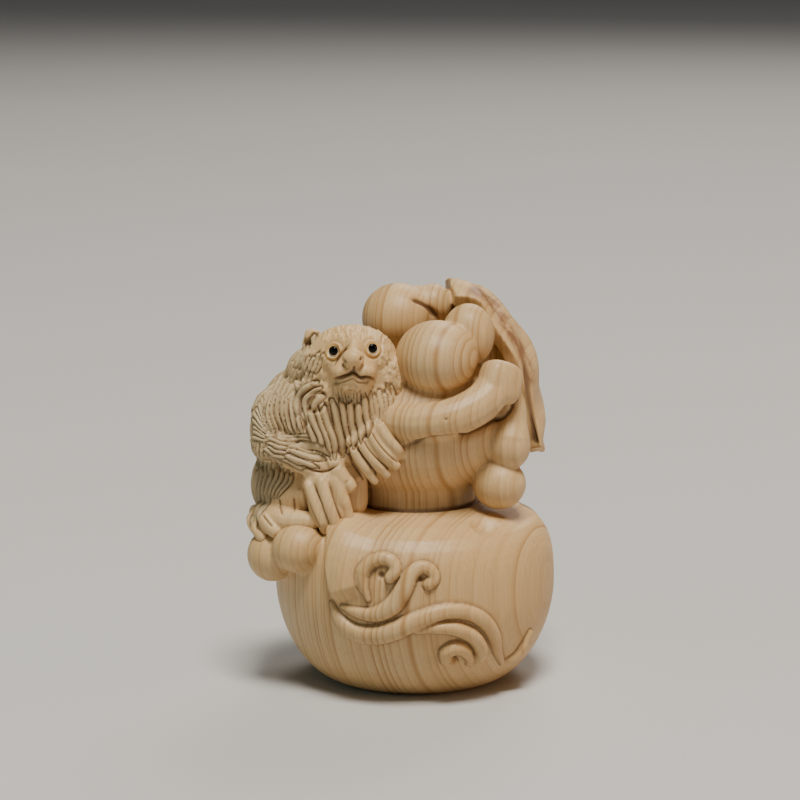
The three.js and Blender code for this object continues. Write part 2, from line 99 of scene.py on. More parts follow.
STALK_RADII = (1.8, 2.1, 2.5, 3.4)
STEM_END = ((13.4, -11.4, 50), (15, -9, 56.7), (3.8, 3.5), 2.9, (0.5, -1, -0.2), 0.42)
STEM_ROOT = (((12.8, -8, 51.6), (15.2, -1.5, 50)), (2.8, 2.8))
LEAF_THICKNESS = 2.6
LEAF_BULGES = (1.9, 3.2, 4.2, 4.0, 3.2, 1.2)
LEAF_MIDDLE = (7, 6, 50)
LEAF_FRONT_EDGE = (
    (6.8, 0, 66.8), (10.6, -1, 66.2), (13, -2, 62.4), (15.8, -2.5, 58.6), (18, -3, 54.6), (19.4, -3, 49),
    (20.6, -3, 43.8), (21.6, -2.5, 39.8))
LEAF_REAR_EDGE = ((5, 15, 66.2), (11, 20, 62), (16, 21.4, 54), (18.2, 16, 45.6), (20.6, 3, 39.4))
VEIN_RISE = 0.35
NECK_GROOVE = (10.9, 31.1)

# Monkey: middle and radii of each rounded form, then its limbs from end to end
BODY_FORMS = {
    "head": ((-10.8, -7.2, 57), (7.8, 6.3, 5.7)),
    "mask": ((-10.5, -9.5, 57.5), (6.5, 4.7, 4.8)),
    "left_cheek": ((-14.6, -7.6, 55.4), (5.6, 4.8, 5)),
    "right_cheek": ((-6, -8.2, 53.6), (4.9, 4.6, 5.4)),
    "nape": ((-16.6, -4.6, 53.6), (5.8, 5.6, 5.6)),
    "ruff": ((-10.4, -7.6, 54), (7.6, 5.8, 4.9)),
    "beard_mass": ((-9.8, -10.6, 49), (6.2, 4, 6.2)),
    "beard_tips": ((-14.8, -11.2, 44.2), (4, 2.9, 4.5)),
    "chest": ((-16.4, -9.2, 46.6), (6.2, 4.6, 6.6)),
    "torso": ((-18.5, -2, 42.6), (9.3, 9.1, 13)),
    "hip": ((-20.5, -2.6, 34.4), (7.9, 8.9, 7.9)),
    "shoulder": ((-22.3, -7, 47.8), (5.2, 5, 5.2)),
    "far_hip": ((-16, 7, 34.6), (7, 6.6, 6.6)),
    "right_tuft": ((-5.6, -10.8, 49), (3, 3, 4.4)),
    "curl_bed": ((-16.4, -9.4, 50.2), (4.4, 4.1, 4.8)),
    "muzzle": ((-10.4, -13.2, 55.5), (3.9, 3.5, 2.9)),
    "chin": ((-10.4, -12.8, 53.4), (3.4, 3, 1.7)),
}
LIMBS = {
    "upper_arm": (((-24.5, -8.2, 48), (-25.1, -11.2, 42.8)), (3.7, 3.0)),
    "forearm": (((-24.2, -11.6, 42.8), (-17, -12, 39.6)), (2.9, 2.3)),
    "far_forearm": (((-13, -9, 46), (-7.6, -12.6, 45.6)), (2.8, 2.5)),
    "foot": (((-20, -8.4, 32), (-23.4, -8.6, 30)), (2.7, 2.4)),
    "bridge": (((-10.5, -12, 60.8), (-10.4, -13.6, 59.9), (-10.4, -15.6, 58.7)), (1.2, 1.15, 1.1)),
}
FACE_FORMS = {
    "nose": ((-10.4, -16.2, 58.4), (1.9, 1.7, 1.55)),
    "left_lip": ((-12.1, -15, 56), (2, 1.5, 1.3)),
    "right_lip": ((-8.7, -15, 56), (2, 1.5, 1.3)),
}

# Pads: their ends, half widths, half thickness, the way they face and how round they are
HAND_PADS = {
    "near_hand": ((-16.6, -11.4, 40.2), (-13.9, -14.9, 28.8), (3.3, 3.3), 2.1, (-0.25, -1, 0.3)),
    "far_hand": ((-9.2, -12.4, 47.2), (-4.8, -13.7, 38.8), (4.2, 4.3), 2.2, (-0.1, -1, 0.12)),
    "wood_behind_hand": ((-12.2, -8.8, 41), (-12, -9.8, 30), (3.7, 4.4), 3.4, (0.12, -1, 0), 0.42),
}
EAR_PAD = {"ear": ((-18, -6.2, 57.8), (-17.2, -6, 61.8), (2, 1.5), 1.1, (-0.4, -1, 0))}

# The near thumb, and the foot that rests on the small gourds, with their radii
FINE_BARS = {
    "near_thumb": (((-14, -12.6, 41), (-12.9, -13.4, 38.4), (-11.1, -14, 36.4)), (1.5, 1.5, 1.25)),
    "outer_toe": (((-27.4, -6.4, 30.2), (-27.5, -9.2, 28.9), (-26, -11.6, 26.9)), (1.3, 1.25, 1.0)),
    "middle_toe": (((-26.2, -8, 30.8), (-25.6, -10.8, 29.9), (-23.8, -12.8, 28.3)), (1.7, 1.6, 1.3)),
    "instep": (((-25, -9.4, 30.6), (-22, -11.8, 29.9), (-18, -13.2, 29.9)), (1.9, 2.1, 1.8)),
    "sole": (((-23.4, -10.6, 28.2), (-21, -12.2, 28), (-18.6, -12.8, 28.4)), (1.7, 1.7, 1.6)),
    "heel": (((-23.5, -4, 31), (-25.6, -3.6, 29), (-25.4, -5, 27.6)), (3, 2.6, 2.2)),
}

# The eyes: where each bead sits and which way it looks
EYES = {
    "left_eye": ((-13.75, -12.9, 59.15), (-0.24, -0.95, 0.16)),
    "right_eye": ((-7.15, -12.9, 59.6), (0.3, -0.93, 0.2)),
}
BEAD_RADIUS = 0.78
BEAD_DOME = 0.42
BEAD_LENGTH = 2.2
LID_RADIUS = 1.08
AMBER_DROP = (0.05, 0, -0.35)
WHITE_SHIFT = (-0.15, 0, -0.12)

# How forms are joined and carved, in millimetres where they are lengths
BODY_VOXEL = 0.3
FINGER_SINK = 0.3
PAD_EASE = 0.35
CAP_REACHES = (0.95, 0.75)
CAP_SIZES = (0.3, 0.75)
LARGEST_STEP = 4
BAND_MOAT = 0.12
COMB_FULLNESS = 0.94
SHAG_SWAY = math.radians(2.16)
HAIR_HALF_WIDTH = 0.24
HAIR_LIFT = 0.1

# Looks: grey levels at shares of a ramp, and each pattern's scale, detail, roughness and stretch
RING_PROFILE = ((0, 0.15), (0.4, 0.28), (0.74, 0.62), (0.88, 1.0), (1.0, 0.15))
FINE_PROFILE = ((0, 0), (0.6, 0.5), (0.85, 1), (1, 0))
WHITE_SEAT = ((0.0, 1.0), (0.49, 0.9), (0.56, 0.0), (1.0, 0.0))
AMBER_RIM = ((0.3, 0.0), (0.46, 0.2), (0.58, 0.9), (0.7, 0.7), (0.82, 0.0))
RING_VALUES = {"Pith X": -0.0856, "Pith Y": 0.0278, "Spacing": 0.0011, "Waviness": 0.0022}
FIBRES = {
    "Fibre": (2600, 3, 0.6, (1, 1, 0.06)),
    "Blotch": (60, 3, 0.55, (1, 1, 0.5)),
    "Pores": (1500, 2, 0.5, (1, 1, 0.3)),
}
GOURD_RING_STRENGTH = 1.45
MONKEY_RING_STRENGTH = 0.55
GLASS_SWIRL = (0.004, 0.0035, 0.003, 1)
FLOOR_TONES = ((0.5, 0.49, 0.47, 1), (0.54, 0.53, 0.51, 1))

# Lights: place in metres, size, watts and tint
LIGHTS = (
    ("key", (0.1, -0.6, 1.6), 0.5, 40.0, (1.0, 0.96, 0.89)),
    ("warm_side", (1.7, -0.5, 0.4), 0.9, 6.0, (1.0, 0.56, 0.25)),
    ("cool_side", (-1.7, -0.9, 0.6), 1.2, 3.0, (0.66, 1.0, 0.9)),
    ("rim", (0.4, 1.4, 1.3), 0.9, 14.0, (1.0, 0.96, 0.9)),
)
LIGHT_AIM = (0, 0, 0.035)
SKY = ((0.9, 0.94, 1.0, 1), 0.06)

# Scrolls: middle lines in pixels, half widths along them and rises in millimetres
SCROLLS = {
    "main_band": (
        ((331.6, 602.9), (339.9, 619.5), (356.4, 632.2), (376.3, 634.4), (396.2, 629.5), (416.1, 620.5),
         (436, 613.2), (454.3, 610.6), (472.5, 613.9), (485.8, 622.8), (494.1, 636.1), (497.4, 650),
         (502.4, 662.6)),
        (0.4, 1.1, 1.6, 1.75, 1.75, 1.6, 1.45, 1.3, 1.3, 1.3, 1.2, 0.9, 0.5), 1.5),
    "lower_band": (
        ((416, 631), (436, 627.8), (455.9, 628.6), (472.5, 636), (480.8, 649.4), (475.8, 661),
         (469, 662.6)),
        (0.5, 1.0, 1.25, 1.3, 1.25, 0.95, 0.6), 1.4),
    "lower_curl": (
        ((472, 662), (465, 651), (455, 647.2), (446.5, 651.5), (446.5, 659), (452, 661)),
        (0.6, 1.1, 1.3, 1.25, 1.1, 0.9), 1.5),
    "fin": (
        ((502.4, 662.6), (514, 655.5), (522, 645.5), (529, 632)),
        (0.4, 0.9, 1.0, 0.6), 1.1),
    "right_curl": (
        ((342.2, 606.5), (356.3, 612.1), (375.9, 614.1), (392.7, 605.1), (404, 588.3), (411, 574.3),
         (420.8, 567.2), (430.6, 570.1), (434, 578.5), (428.5, 584.5)),
        (0.4, 0.9, 1.35, 1.6, 1.5, 1.3, 1.15, 1.05, 1.0, 0.95), 1.5),
    "left_curl": (
        ((368.5, 600), (364.2, 586), (364.1, 572), (371.5, 562.5), (383, 558.4), (392.8, 562),
         (395.3, 570.5), (390.5, 577.5)),
        (0.4, 0.9, 1.15, 1.15, 1.15, 1.1, 1.05, 1.0), 1.6),
}
# Pixel routes on the gourd, and small hollows: a pixel, radius and depth in millimetres, darkness of painted
# shade
RIB = ((331, 514), (333, 540), (332, 562), (335, 584), (341, 603))
LEAF_FLECKS = ((478, 291), (488, 298), (497, 310), (507, 325), (515, 338), (524, 356), (530, 374))
STEM_UNDER = (
    (402, 447), (426.4, 440), (450, 437), (468.5, 433.5), (491, 423.5), (507.8, 411.5), (519, 399))
GOURD_CUTS = (
    (((412.4, 299.3), (425, 304.9), (437.6, 317.5)), 0.7, 0.6),
    # A dark strip of painted shade on the leaf's inner face, where it folds away from the light
    (((526, 366), (529, 392), (532.5, 415), (535, 440)), 1.05, 0.7, (0.4, 1)),
    # A line of painted shadow under the stem, along its undercut
    (STEM_UNDER, 0.5, 0.45, (0.3, 0.6)),
)
GOURD_DENTS = (
    ((381.5, 574.5), 0.85, 0.6, 0.85),
    ((420.5, 578.5), 0.85, 0.6, 0.85),
    ((452, 656.5), 0.85, 0.6, 0.85),
    ((446, 419), 0.32, 0.4, 1.0),
    ((525, 371), 0.32, 0.4, 1.0),
)
SHOULDER_HOLLOW = (12.1, 29.6)

# Fur round the far side: axis, heights, angles in degrees, count and lift
SHAG = (
    ((-18, -1), (40, 29), (20, 232), 32, 0.6),
    ((-18, -2), (49, 38), (20, 250), 34, 0.6),
    ((-17, -2), (55.5, 46), (20, 240), 32, 0.6),
    ((-12, -5), (61.5, 53), (20, 215), 28, 0.5),
)
# Fur in view: pixels of the roots, middles and tips of the locks, then count, lift, wave and ends
COMBS = (
    # Underarm
    ((((250, 440), (276, 448)), ((250, 450), (278, 458)), ((252, 464), (284, 470))), 6, 0.5, 0.8),
    # Left mane
    ((((268, 392), (284, 380), (299, 377)), ((261, 410), (280, 408), (299, 405)), ((266, 433),
     (287, 437), (303, 436))), 8, 1.0, 0.9),
    # Shoulder fan
    ((((262, 392), (250, 415), (249, 440)), ((262, 410), (258, 424), (258, 441)), ((272, 432),
     (270, 435), (270, 441))), 8, 0.7, 0.4),
    # Upper mane
    ((((278, 373), (304, 383)), ((267, 393), (296, 402))), 6, 0.6, 0.5, (0.7, 0.3)),
    ((((289, 361), (314, 371)), ((277, 381), (306, 389))), 6, 0.6, 0.5, (0.7, 0.3)),
    ((((300, 350), (323, 358)), ((289, 367), (317, 376))), 6, 0.6, 0.5, (0.7, 0.3)),
    # Flank
    ((((250, 462), (296, 474)), ((253, 478), (290, 484)), ((249, 498), (280, 500))), 8, 0.65, 0.9),
    # Forearm
    ((((284, 433), (280, 446)), ((306, 436), (300, 450)), ((329, 445), (322, 459))), 4, 0.55, 1.1,
     (0.6, 0.3)),
    ((((288, 442), (277, 462)), ((306, 445), (292, 468)), ((325, 452), (301, 472))), 4, 0.55, 1.1,
     (0.6, 0.3)),
    ((((269, 437), (264, 452)), ((281, 438), (273, 458)), ((293, 443), (284, 464))), 4, 0.55, 1.1,
     (0.6, 0.3)),
    # Right tuft
    ((((369, 396), (394, 386)), ((370, 411), (399, 401)), ((375, 424), (393, 419))), 6, 0.4, 0.2),
    # Beard
    ((((300, 415), (318, 404), (345, 402), (369, 399)), ((308, 432), (328, 430), (350, 425),
     (372, 416)), ((307, 454), (331, 459.5), (348, 451), (368, 433))), 9, 0.95, 1.4),
    # Chin tuft
    ((((337, 391), (361, 392)), ((339, 397), (360, 398)), ((340, 403.5), (359, 403.5))), 7, 0.3, 0.2),
)
# Patches of short hair: pixel corners, count, the way it flows in degrees and length in pixels
STIPPLES = (
    (((318, 325), (392, 343)), 170, 80, 4),
    (((378, 345), (408, 398)), 190, -75, 4),
    (((298, 350), (330, 386)), 120, 250, 4.5),
    (((330, 384), (376, 392)), 50, 270, 3),
)
# Single locks and folds, as pixels, the curls with their half widths
FOREARM_WAVES = (
    ((297, 443), (318, 448), (330, 456)),
    ((288, 449), (306, 455), (326, 460)),
    ((284, 456), (300, 463), (319, 468)),
)
CURL_LOCKS = (
    (((295.4, 416), (294.6, 402), (298, 392.5), (307, 385.5), (317, 381.8)), 0.62),
    (((306, 424), (303, 412), (303, 402), (306.4, 395.5), (313, 390), (321, 387.6)), 0.6),
    (((310.6, 409), (314.6, 401.4), (323, 396.6)), 0.95),
)
CUFF = ((299, 464), (310, 470.5), (324, 471.5), (338, 465.5))
LOWER_LIP = (
    (335, 382.6), (343, 380.4), (350, 377.6), (353.5, 375.8), (357, 379.6), (361, 382), (368, 382.4))
# Cuts: pixel routes, half widths, depths and how they fade at their ends; each is darkened with painted shade
# and dirt
BODY_CUTS = (
    # Between the curls and under the cuff
    (((319, 385.6), (311.4, 388.2), (301.6, 394.5), (298.5, 401.6), (301.6, 411.4), (304.3, 420.4),
     (303.8, 430.2)), 0.42, 0.7),
    (((326.4, 394.5), (321, 391), (315.5, 391), (309, 395)), 0.42, 0.45),
    (((315, 396), (310.5, 402.5), (307.4, 412.3)), 0.42, 0.95),
    (((325.7, 404.6), (320.4, 409.6), (313.6, 412.5)), 0.42, 0.95),
    (CUFF, 0.34, 0.35),
    # Between the fingers
    (((354.8, 444), (360.9, 454), (371.8, 468), (380.2, 479)), 0.26, 0.4, (0.5, 1)),
    (((361.5, 436), (370, 450), (381, 462), (391.2, 471.5)), 0.26, 0.4, (0.5, 1)),
    (((371, 431), (381, 446), (391, 456.5), (400, 463)), 0.26, 0.4, (0.5, 1)),
    (((348.5, 448), (352, 461), (363.5, 479)), 0.26, 0.4, (0.5, 1)),
    (((304, 490), (311, 508), (319, 527)), 0.26, 0.4, (0.5, 1)),
    (((314, 484.5), (322, 505), (331, 530)), 0.26, 0.4, (0.5, 1)),
    (((329, 482.5), (336, 505), (344.5, 527)), 0.26, 0.4, (0.5, 1)),
    # Over the foot, then the thumb nail
    (((279, 499), (282, 515)), 0.3, 0.35),
    (((294, 498), (295, 511)), 0.3, 0.35),
    (((262, 514), (272, 527)), 0.3, 0.35),
    (((344.4, 484), (349.5, 480)), 0.22, 0.2),
)
FACE_CUTS = (
    # Mouth, philtrum and the crease beside the nose
    (((332.8, 379.3), (338, 378.6), (343.6, 377), (349, 374), (353.1, 371.6), (356.8, 375),
     (360.4, 378.1), (368, 377.6), (374.9, 379.3)), 0.42, 0.8),
    (((354.6, 366.5), (353.4, 371.5)), 0.35, 0.4),
    (((348.9, 344.5), (339, 356.7), (335.9, 361.3), (331.7, 369.7)), 0.32, 0.45),
)
# Nostrils, dimples and the ear's hollow, darkened with painted shade
FACE_DENTS = (
    ((344, 361.7), 0.6, 0.5, 0.8),
    ((361.9, 359.2), 0.6, 0.5, 0.8),
    ((373.4, 386.6), 0.5, 0.25, 0.5),
    ((389.5, 374.3), 0.5, 0.25, 0.5),
    ((306, 343), 1.0, 0.8, 0.7),
)

# Fingers: middle lines in pixels and radii in millimetres
FINGERS = {
    "far_thumb": (((346, 450), (348.5, 463), (354.5, 478)), (0.9, 0.9, 0.8)),
    "far_finger_1": (((351.5, 441), (357, 455), (366.5, 469), (374.5, 480)), (0.75, 0.95, 0.95, 0.8)),
    "far_finger_2": (((359, 434), (365, 449), (376, 463), (386.5, 474)), (0.75, 0.95, 0.95, 0.8)),
    "far_finger_3": (((367.5, 428), (376, 443.5), (386, 455.5), (396, 465.5)), (0.75, 0.95, 0.95, 0.8)),
    "far_finger_4": (((376.5, 423), (387, 438), (396, 448), (403.5, 456)), (0.8, 0.95, 0.95, 0.8)),
    "near_finger_1": (((300.5, 492), (306.5, 509), (314.5, 527)), (0.7, 0.8, 0.7)),
    "near_finger_2": (((308.6, 485), (316, 506), (324.5, 530)), (0.9, 1.0, 0.8)),
    "near_finger_3": (((321.4, 482), (328.8, 505), (337, 529)), (1.1, 1.2, 0.95)),
    "near_finger_4": (((336, 480), (343.2, 502), (350, 522)), (1.15, 1.25, 1.0)),
}


def deselect_all():
    bpy.ops.object.select_all(action="DESELECT")


def keep_only(piece):
    deselect_all()
    piece.select_set(True)
    bpy.context.view_layer.objects.active = piece


def new_piece(name):
    piece = bpy.context.active_object
    piece.name = name
    piece.data.name = name
    return piece


def add_object(name, data):
    piece = bpy.data.objects.new(name, data)
    bpy.context.collection.objects.link(piece)
    return piece


def settle(piece):
    keep_only(piece)
    bpy.ops.object.transform_apply(location=True, rotation=True, scale=True)
    return piece


def join(pieces, name):
    deselect_all()
    for piece in pieces:
        piece.select_set(True)
    bpy.context.view_layer.objects.active = pieces[0]
    bpy.ops.object.join()
    return new_piece(name)


def apply_modifiers(piece):
    keep_only(piece)
    for modifier in list(piece.modifiers):
        bpy.ops.object.modifier_apply(modifier=modifier.name)


def face_outwards(piece):
    keep_only(piece)
    bpy.ops.object.mode_set(mode="EDIT")
    bpy.ops.mesh.select_all(action="SELECT")
    bpy.ops.mesh.normals_make_consistent(inside=False)
    bpy.ops.object.mode_set(mode="OBJECT")
    return piece


def spun(name, outline, steps, weld):
    """Spins an outline of radii and heights round the upright axis, and welds its seam and poles."""
    mesh = bpy.data.meshes.new(name)
    edges = [(i, i + 1) for i in range(len(outline) - 1)]
    mesh.from_pydata([(radius * MM, 0, height * MM) for radius, height in outline], edges, [])
    piece = add_object(name, mesh)
    keep_only(piece)
    bpy.ops.object.mode_set(mode="EDIT")
    bpy.ops.mesh.select_all(action="SELECT")
    bpy.ops.mesh.spin(steps=steps, angle=2 * math.pi, center=(0, 0, 0), axis=(0, 0, 1))
    bpy.ops.mesh.select_all(action="SELECT")
    bpy.ops.mesh.remove_doubles(threshold=weld * MM)
    bpy.ops.object.mode_set(mode="OBJECT")
    return face_outwards(piece)


def smoothstep(low, high, value):
    share = np.clip((value - low) / (high - low), 0, 1)
    return share * share * (3 - 2 * share)


def part_way(share, values):
    """Evenly spaced values, read at a share of the way along them."""
    return np.interp(share, np.linspace(0, 1, len(values)), values)


def point_along(route, share):
    return np.array([part_way(share, values) for values in route.T])


def taper(along, opened, closing, first, last):
    """Swells from the first value to 1, holds it, then sinks to the last."""
    return np.interp(along, (0, opened, closing, 1), (first, 1, 1, last))


def dome(distance, reach, power=2):
    """1 at no distance, and 0 from the reach on."""
    return np.clip(1 - (distance / reach) ** power, 0, 1)


def keep_higher(layer, inside, values):
    layer[inside] = np.maximum(layer[inside], values)


def smooth_route(corners, steps=8):
    """Points of a Catmull-Rom curve through the corners."""
    corners = np.asarray(corners, float)
    if len(corners) < 3:
        share = np.linspace(0, 1, steps + 1)[:, None]
        return corners[0] + (corners[-1] - corners[0]) * share
    padded = np.vstack([2 * corners[0] - corners[1], corners, 2 * corners[-1] - corners[-2]])
    route = []
    for i in range(len(corners) - 1):
        before, start, end, after = padded[i:i + 4]
        for share in np.arange(steps) / steps:
            route.append(0.5 * (2 * start + (end - before) * share
                                + (2 * before - 5 * start + 4 * end - after) * share ** 2
                                + (3 * start - before - 3 * end + after) * share ** 3))
    route.append(corners[-1])
    return np.array(route)


def lump(name, middle, radii):
    deselect_all()
    bpy.ops.mesh.primitive_uv_sphere_add(
        segments=40, ring_count=24, radius=MM, location=Vector(middle) * MM, scale=radii)
    return settle(new_piece(name))


def pad(name, start, end, half_widths, half_thickness, outward, roundness=0.62):
    """A flat-sided rounded pad from one end to the other, as the back of a hand."""
    deselect_all()
    bpy.ops.mesh.primitive_uv_sphere_add(segments=40, ring_count=24, radius=1)
    piece = new_piece(name)
    start, end = np.array(start, float), np.array(end, float)
    along = (end - start) / 2
    out = np.array(outward, float)
    out -= along * (out @ along) / (along @ along)
    out /= np.linalg.norm(out)
    side = np.cross(along / np.linalg.norm(along), out)
    for vertex in piece.data.vertices:
        x, y, z = (math.copysign(abs(value) ** roundness, value) for value in vertex.co)
        round_off = (vertex.co.length / math.sqrt(x * x + y * y + z * z)) ** PAD_EASE
        x, y, z = x * round_off, y * round_off, z * round_off
        width = np.interp(z, (-1, 1), half_widths)
        place = (start + end) / 2 + side * x * width + out * y * half_thickness + along * z
        vertex.co = Vector(place) * MM
    return face_outwards(piece)


def bar(name, corners, radii, steps=6):
    """A rounded bar along a smooth route, its radius given at each corner."""
    route = smooth_route(corners, steps)
    sizes = part_way(np.linspace(0, 1, len(route)), radii)
    first, last = route[0] - route[1], route[-1] - route[-2]
    first, last = first / np.linalg.norm(first), last / np.linalg.norm(last)
    caps = [[route[0] + first * sizes[0] * reach for reach in CAP_REACHES],
            [route[-1] + last * sizes[-1] * reach for reach in CAP_REACHES[::-1]]]
    route = np.vstack([*caps[0], route, *caps[1]])
    cap = np.array(CAP_SIZES)
    sizes = np.concatenate([cap * sizes[0], sizes, cap[::-1] * sizes[-1]])
    curve = bpy.data.curves.new(name, "CURVE")
    curve.dimensions = "3D"
    curve.bevel_depth = MM
    curve.bevel_resolution = 5
    curve.use_fill_caps = True
    spline = curve.splines.new("POLY")
    spline.points.add(len(route) - 1)
    for point, place, size in zip(spline.points, route, sizes):
        point.co = (*(place * MM), 1)
        point.radius = size
    keep_only(add_object(name, curve))
    bpy.ops.object.convert(target="MESH")
    return new_piece(name)


def each(make, forms):
    return [make(name, *form) for name, form in forms.items()]


def fuse(pieces, name, voxel, rounds):
    """Joins forms into one closed skin and eases the joints between them."""
    piece = join(pieces, name)
    remesh = piece.modifiers.new("skin", "REMESH")
    remesh.mode = "VOXEL"
    remesh.voxel_size = voxel * MM
    ease = piece.modifiers.new("ease", "SMOOTH")
    ease.factor = 0.5
    ease.iterations = rounds
    apply_modifiers(piece)
    return piece


def gourd_lean(height):
    return UPPER_LEAN * smoothstep(NECK_HEIGHT, UPPER_MIDDLE, height)


def swell(value, power):
    """A quarter of a superellipse: 1 at no height, and 0 at a height of 1."""
    return (1 - min(1, abs(value)) ** power) ** (1 / power)


def gourd_radius(height):
    if height < LOWER_MIDDLE:
        share = swell((LOWER_MIDDLE - height) / LOWER_MIDDLE, 1.8)
        return FOOT_RADIUS + (LOWER_RADIUS - FOOT_RADIUS) * share
    if height < SHOULDER_HEIGHT:
        share = swell((height - LOWER_MIDDLE) / (SHOULDER_HEIGHT - LOWER_MIDDLE), 3.0)
        return CREST_RADIUS + (LOWER_RADIUS - CREST_RADIUS) * share
    upper = UPPER_RADIUS * swell((height - UPPER_MIDDLE) / (GOURD_HEIGHT - UPPER_MIDDLE), 2.2)
    return max(NECK_RADIUS, upper) if height < UPPER_MIDDLE else upper


def on_front(across, height):
    aside = across - gourd_lean(height)
    return (across, -math.sqrt(max(0, gourd_radius(height) ** 2 - aside ** 2)), height)


def double_gourd():
    """Spins the gourd's outline round its axis, then leans its upper bulb."""
    count = GOURD_RINGS
    heights = [GOURD_HEIGHT * (0.5 - 0.5 * math.cos(math.pi * i / count)) for i in range(count)]
    outline = [(0, 0), *((gourd_radius(height), height) for height in heights), (0, GOURD_HEIGHT)]
    piece = spun("gourd", outline, 96, 0.01)
    for vertex in piece.data.vertices:
        vertex.co.x += float(gourd_lean(vertex.co.z / MM)) * MM
    return piece


def leaf():
    """A folded leaf: a grid between its two edges, with lobes and veins, given its thickness."""
    deselect_all()
    bpy.ops.mesh.primitive_grid_add(x_subdivisions=72, y_subdivisions=40, size=1)
    piece = new_piece("leaf")
    front = smooth_route(LEAF_FRONT_EDGE, 16)
    rear = smooth_route(LEAF_REAR_EDGE, 16)
    for vertex in piece.data.vertices:
        along, across = vertex.co.x + 0.5, vertex.co.y + 0.5
        point = point_along(front, along) * (1 - across) + point_along(rear, along) * across
        out = (point - LEAF_MIDDLE) / np.linalg.norm(point - LEAF_MIDDLE)
        arch = 4 * across * (1 - across)
        vein = VEIN_RISE * math.cos(2 * math.pi * (4 * along - 1.5 * abs(across - 0.5)))
        bulge = part_way(along, LEAF_BULGES)
        point = point + out * ((bulge + vein) * arch - LEAF_THICKNESS / 2)
        vertex.co = Vector(point) * MM
    thick = piece.modifiers.new("thickness", "SOLIDIFY")
    thick.thickness = LEAF_THICKNESS * MM
    thick.offset = 0
    apply_modifiers(piece)
    return piece


def point_values(mesh, name):
    values = np.empty(len(mesh.vertices) * 3)
    mesh.vertices.foreach_get(name, values)
    return values.reshape(-1, 3)


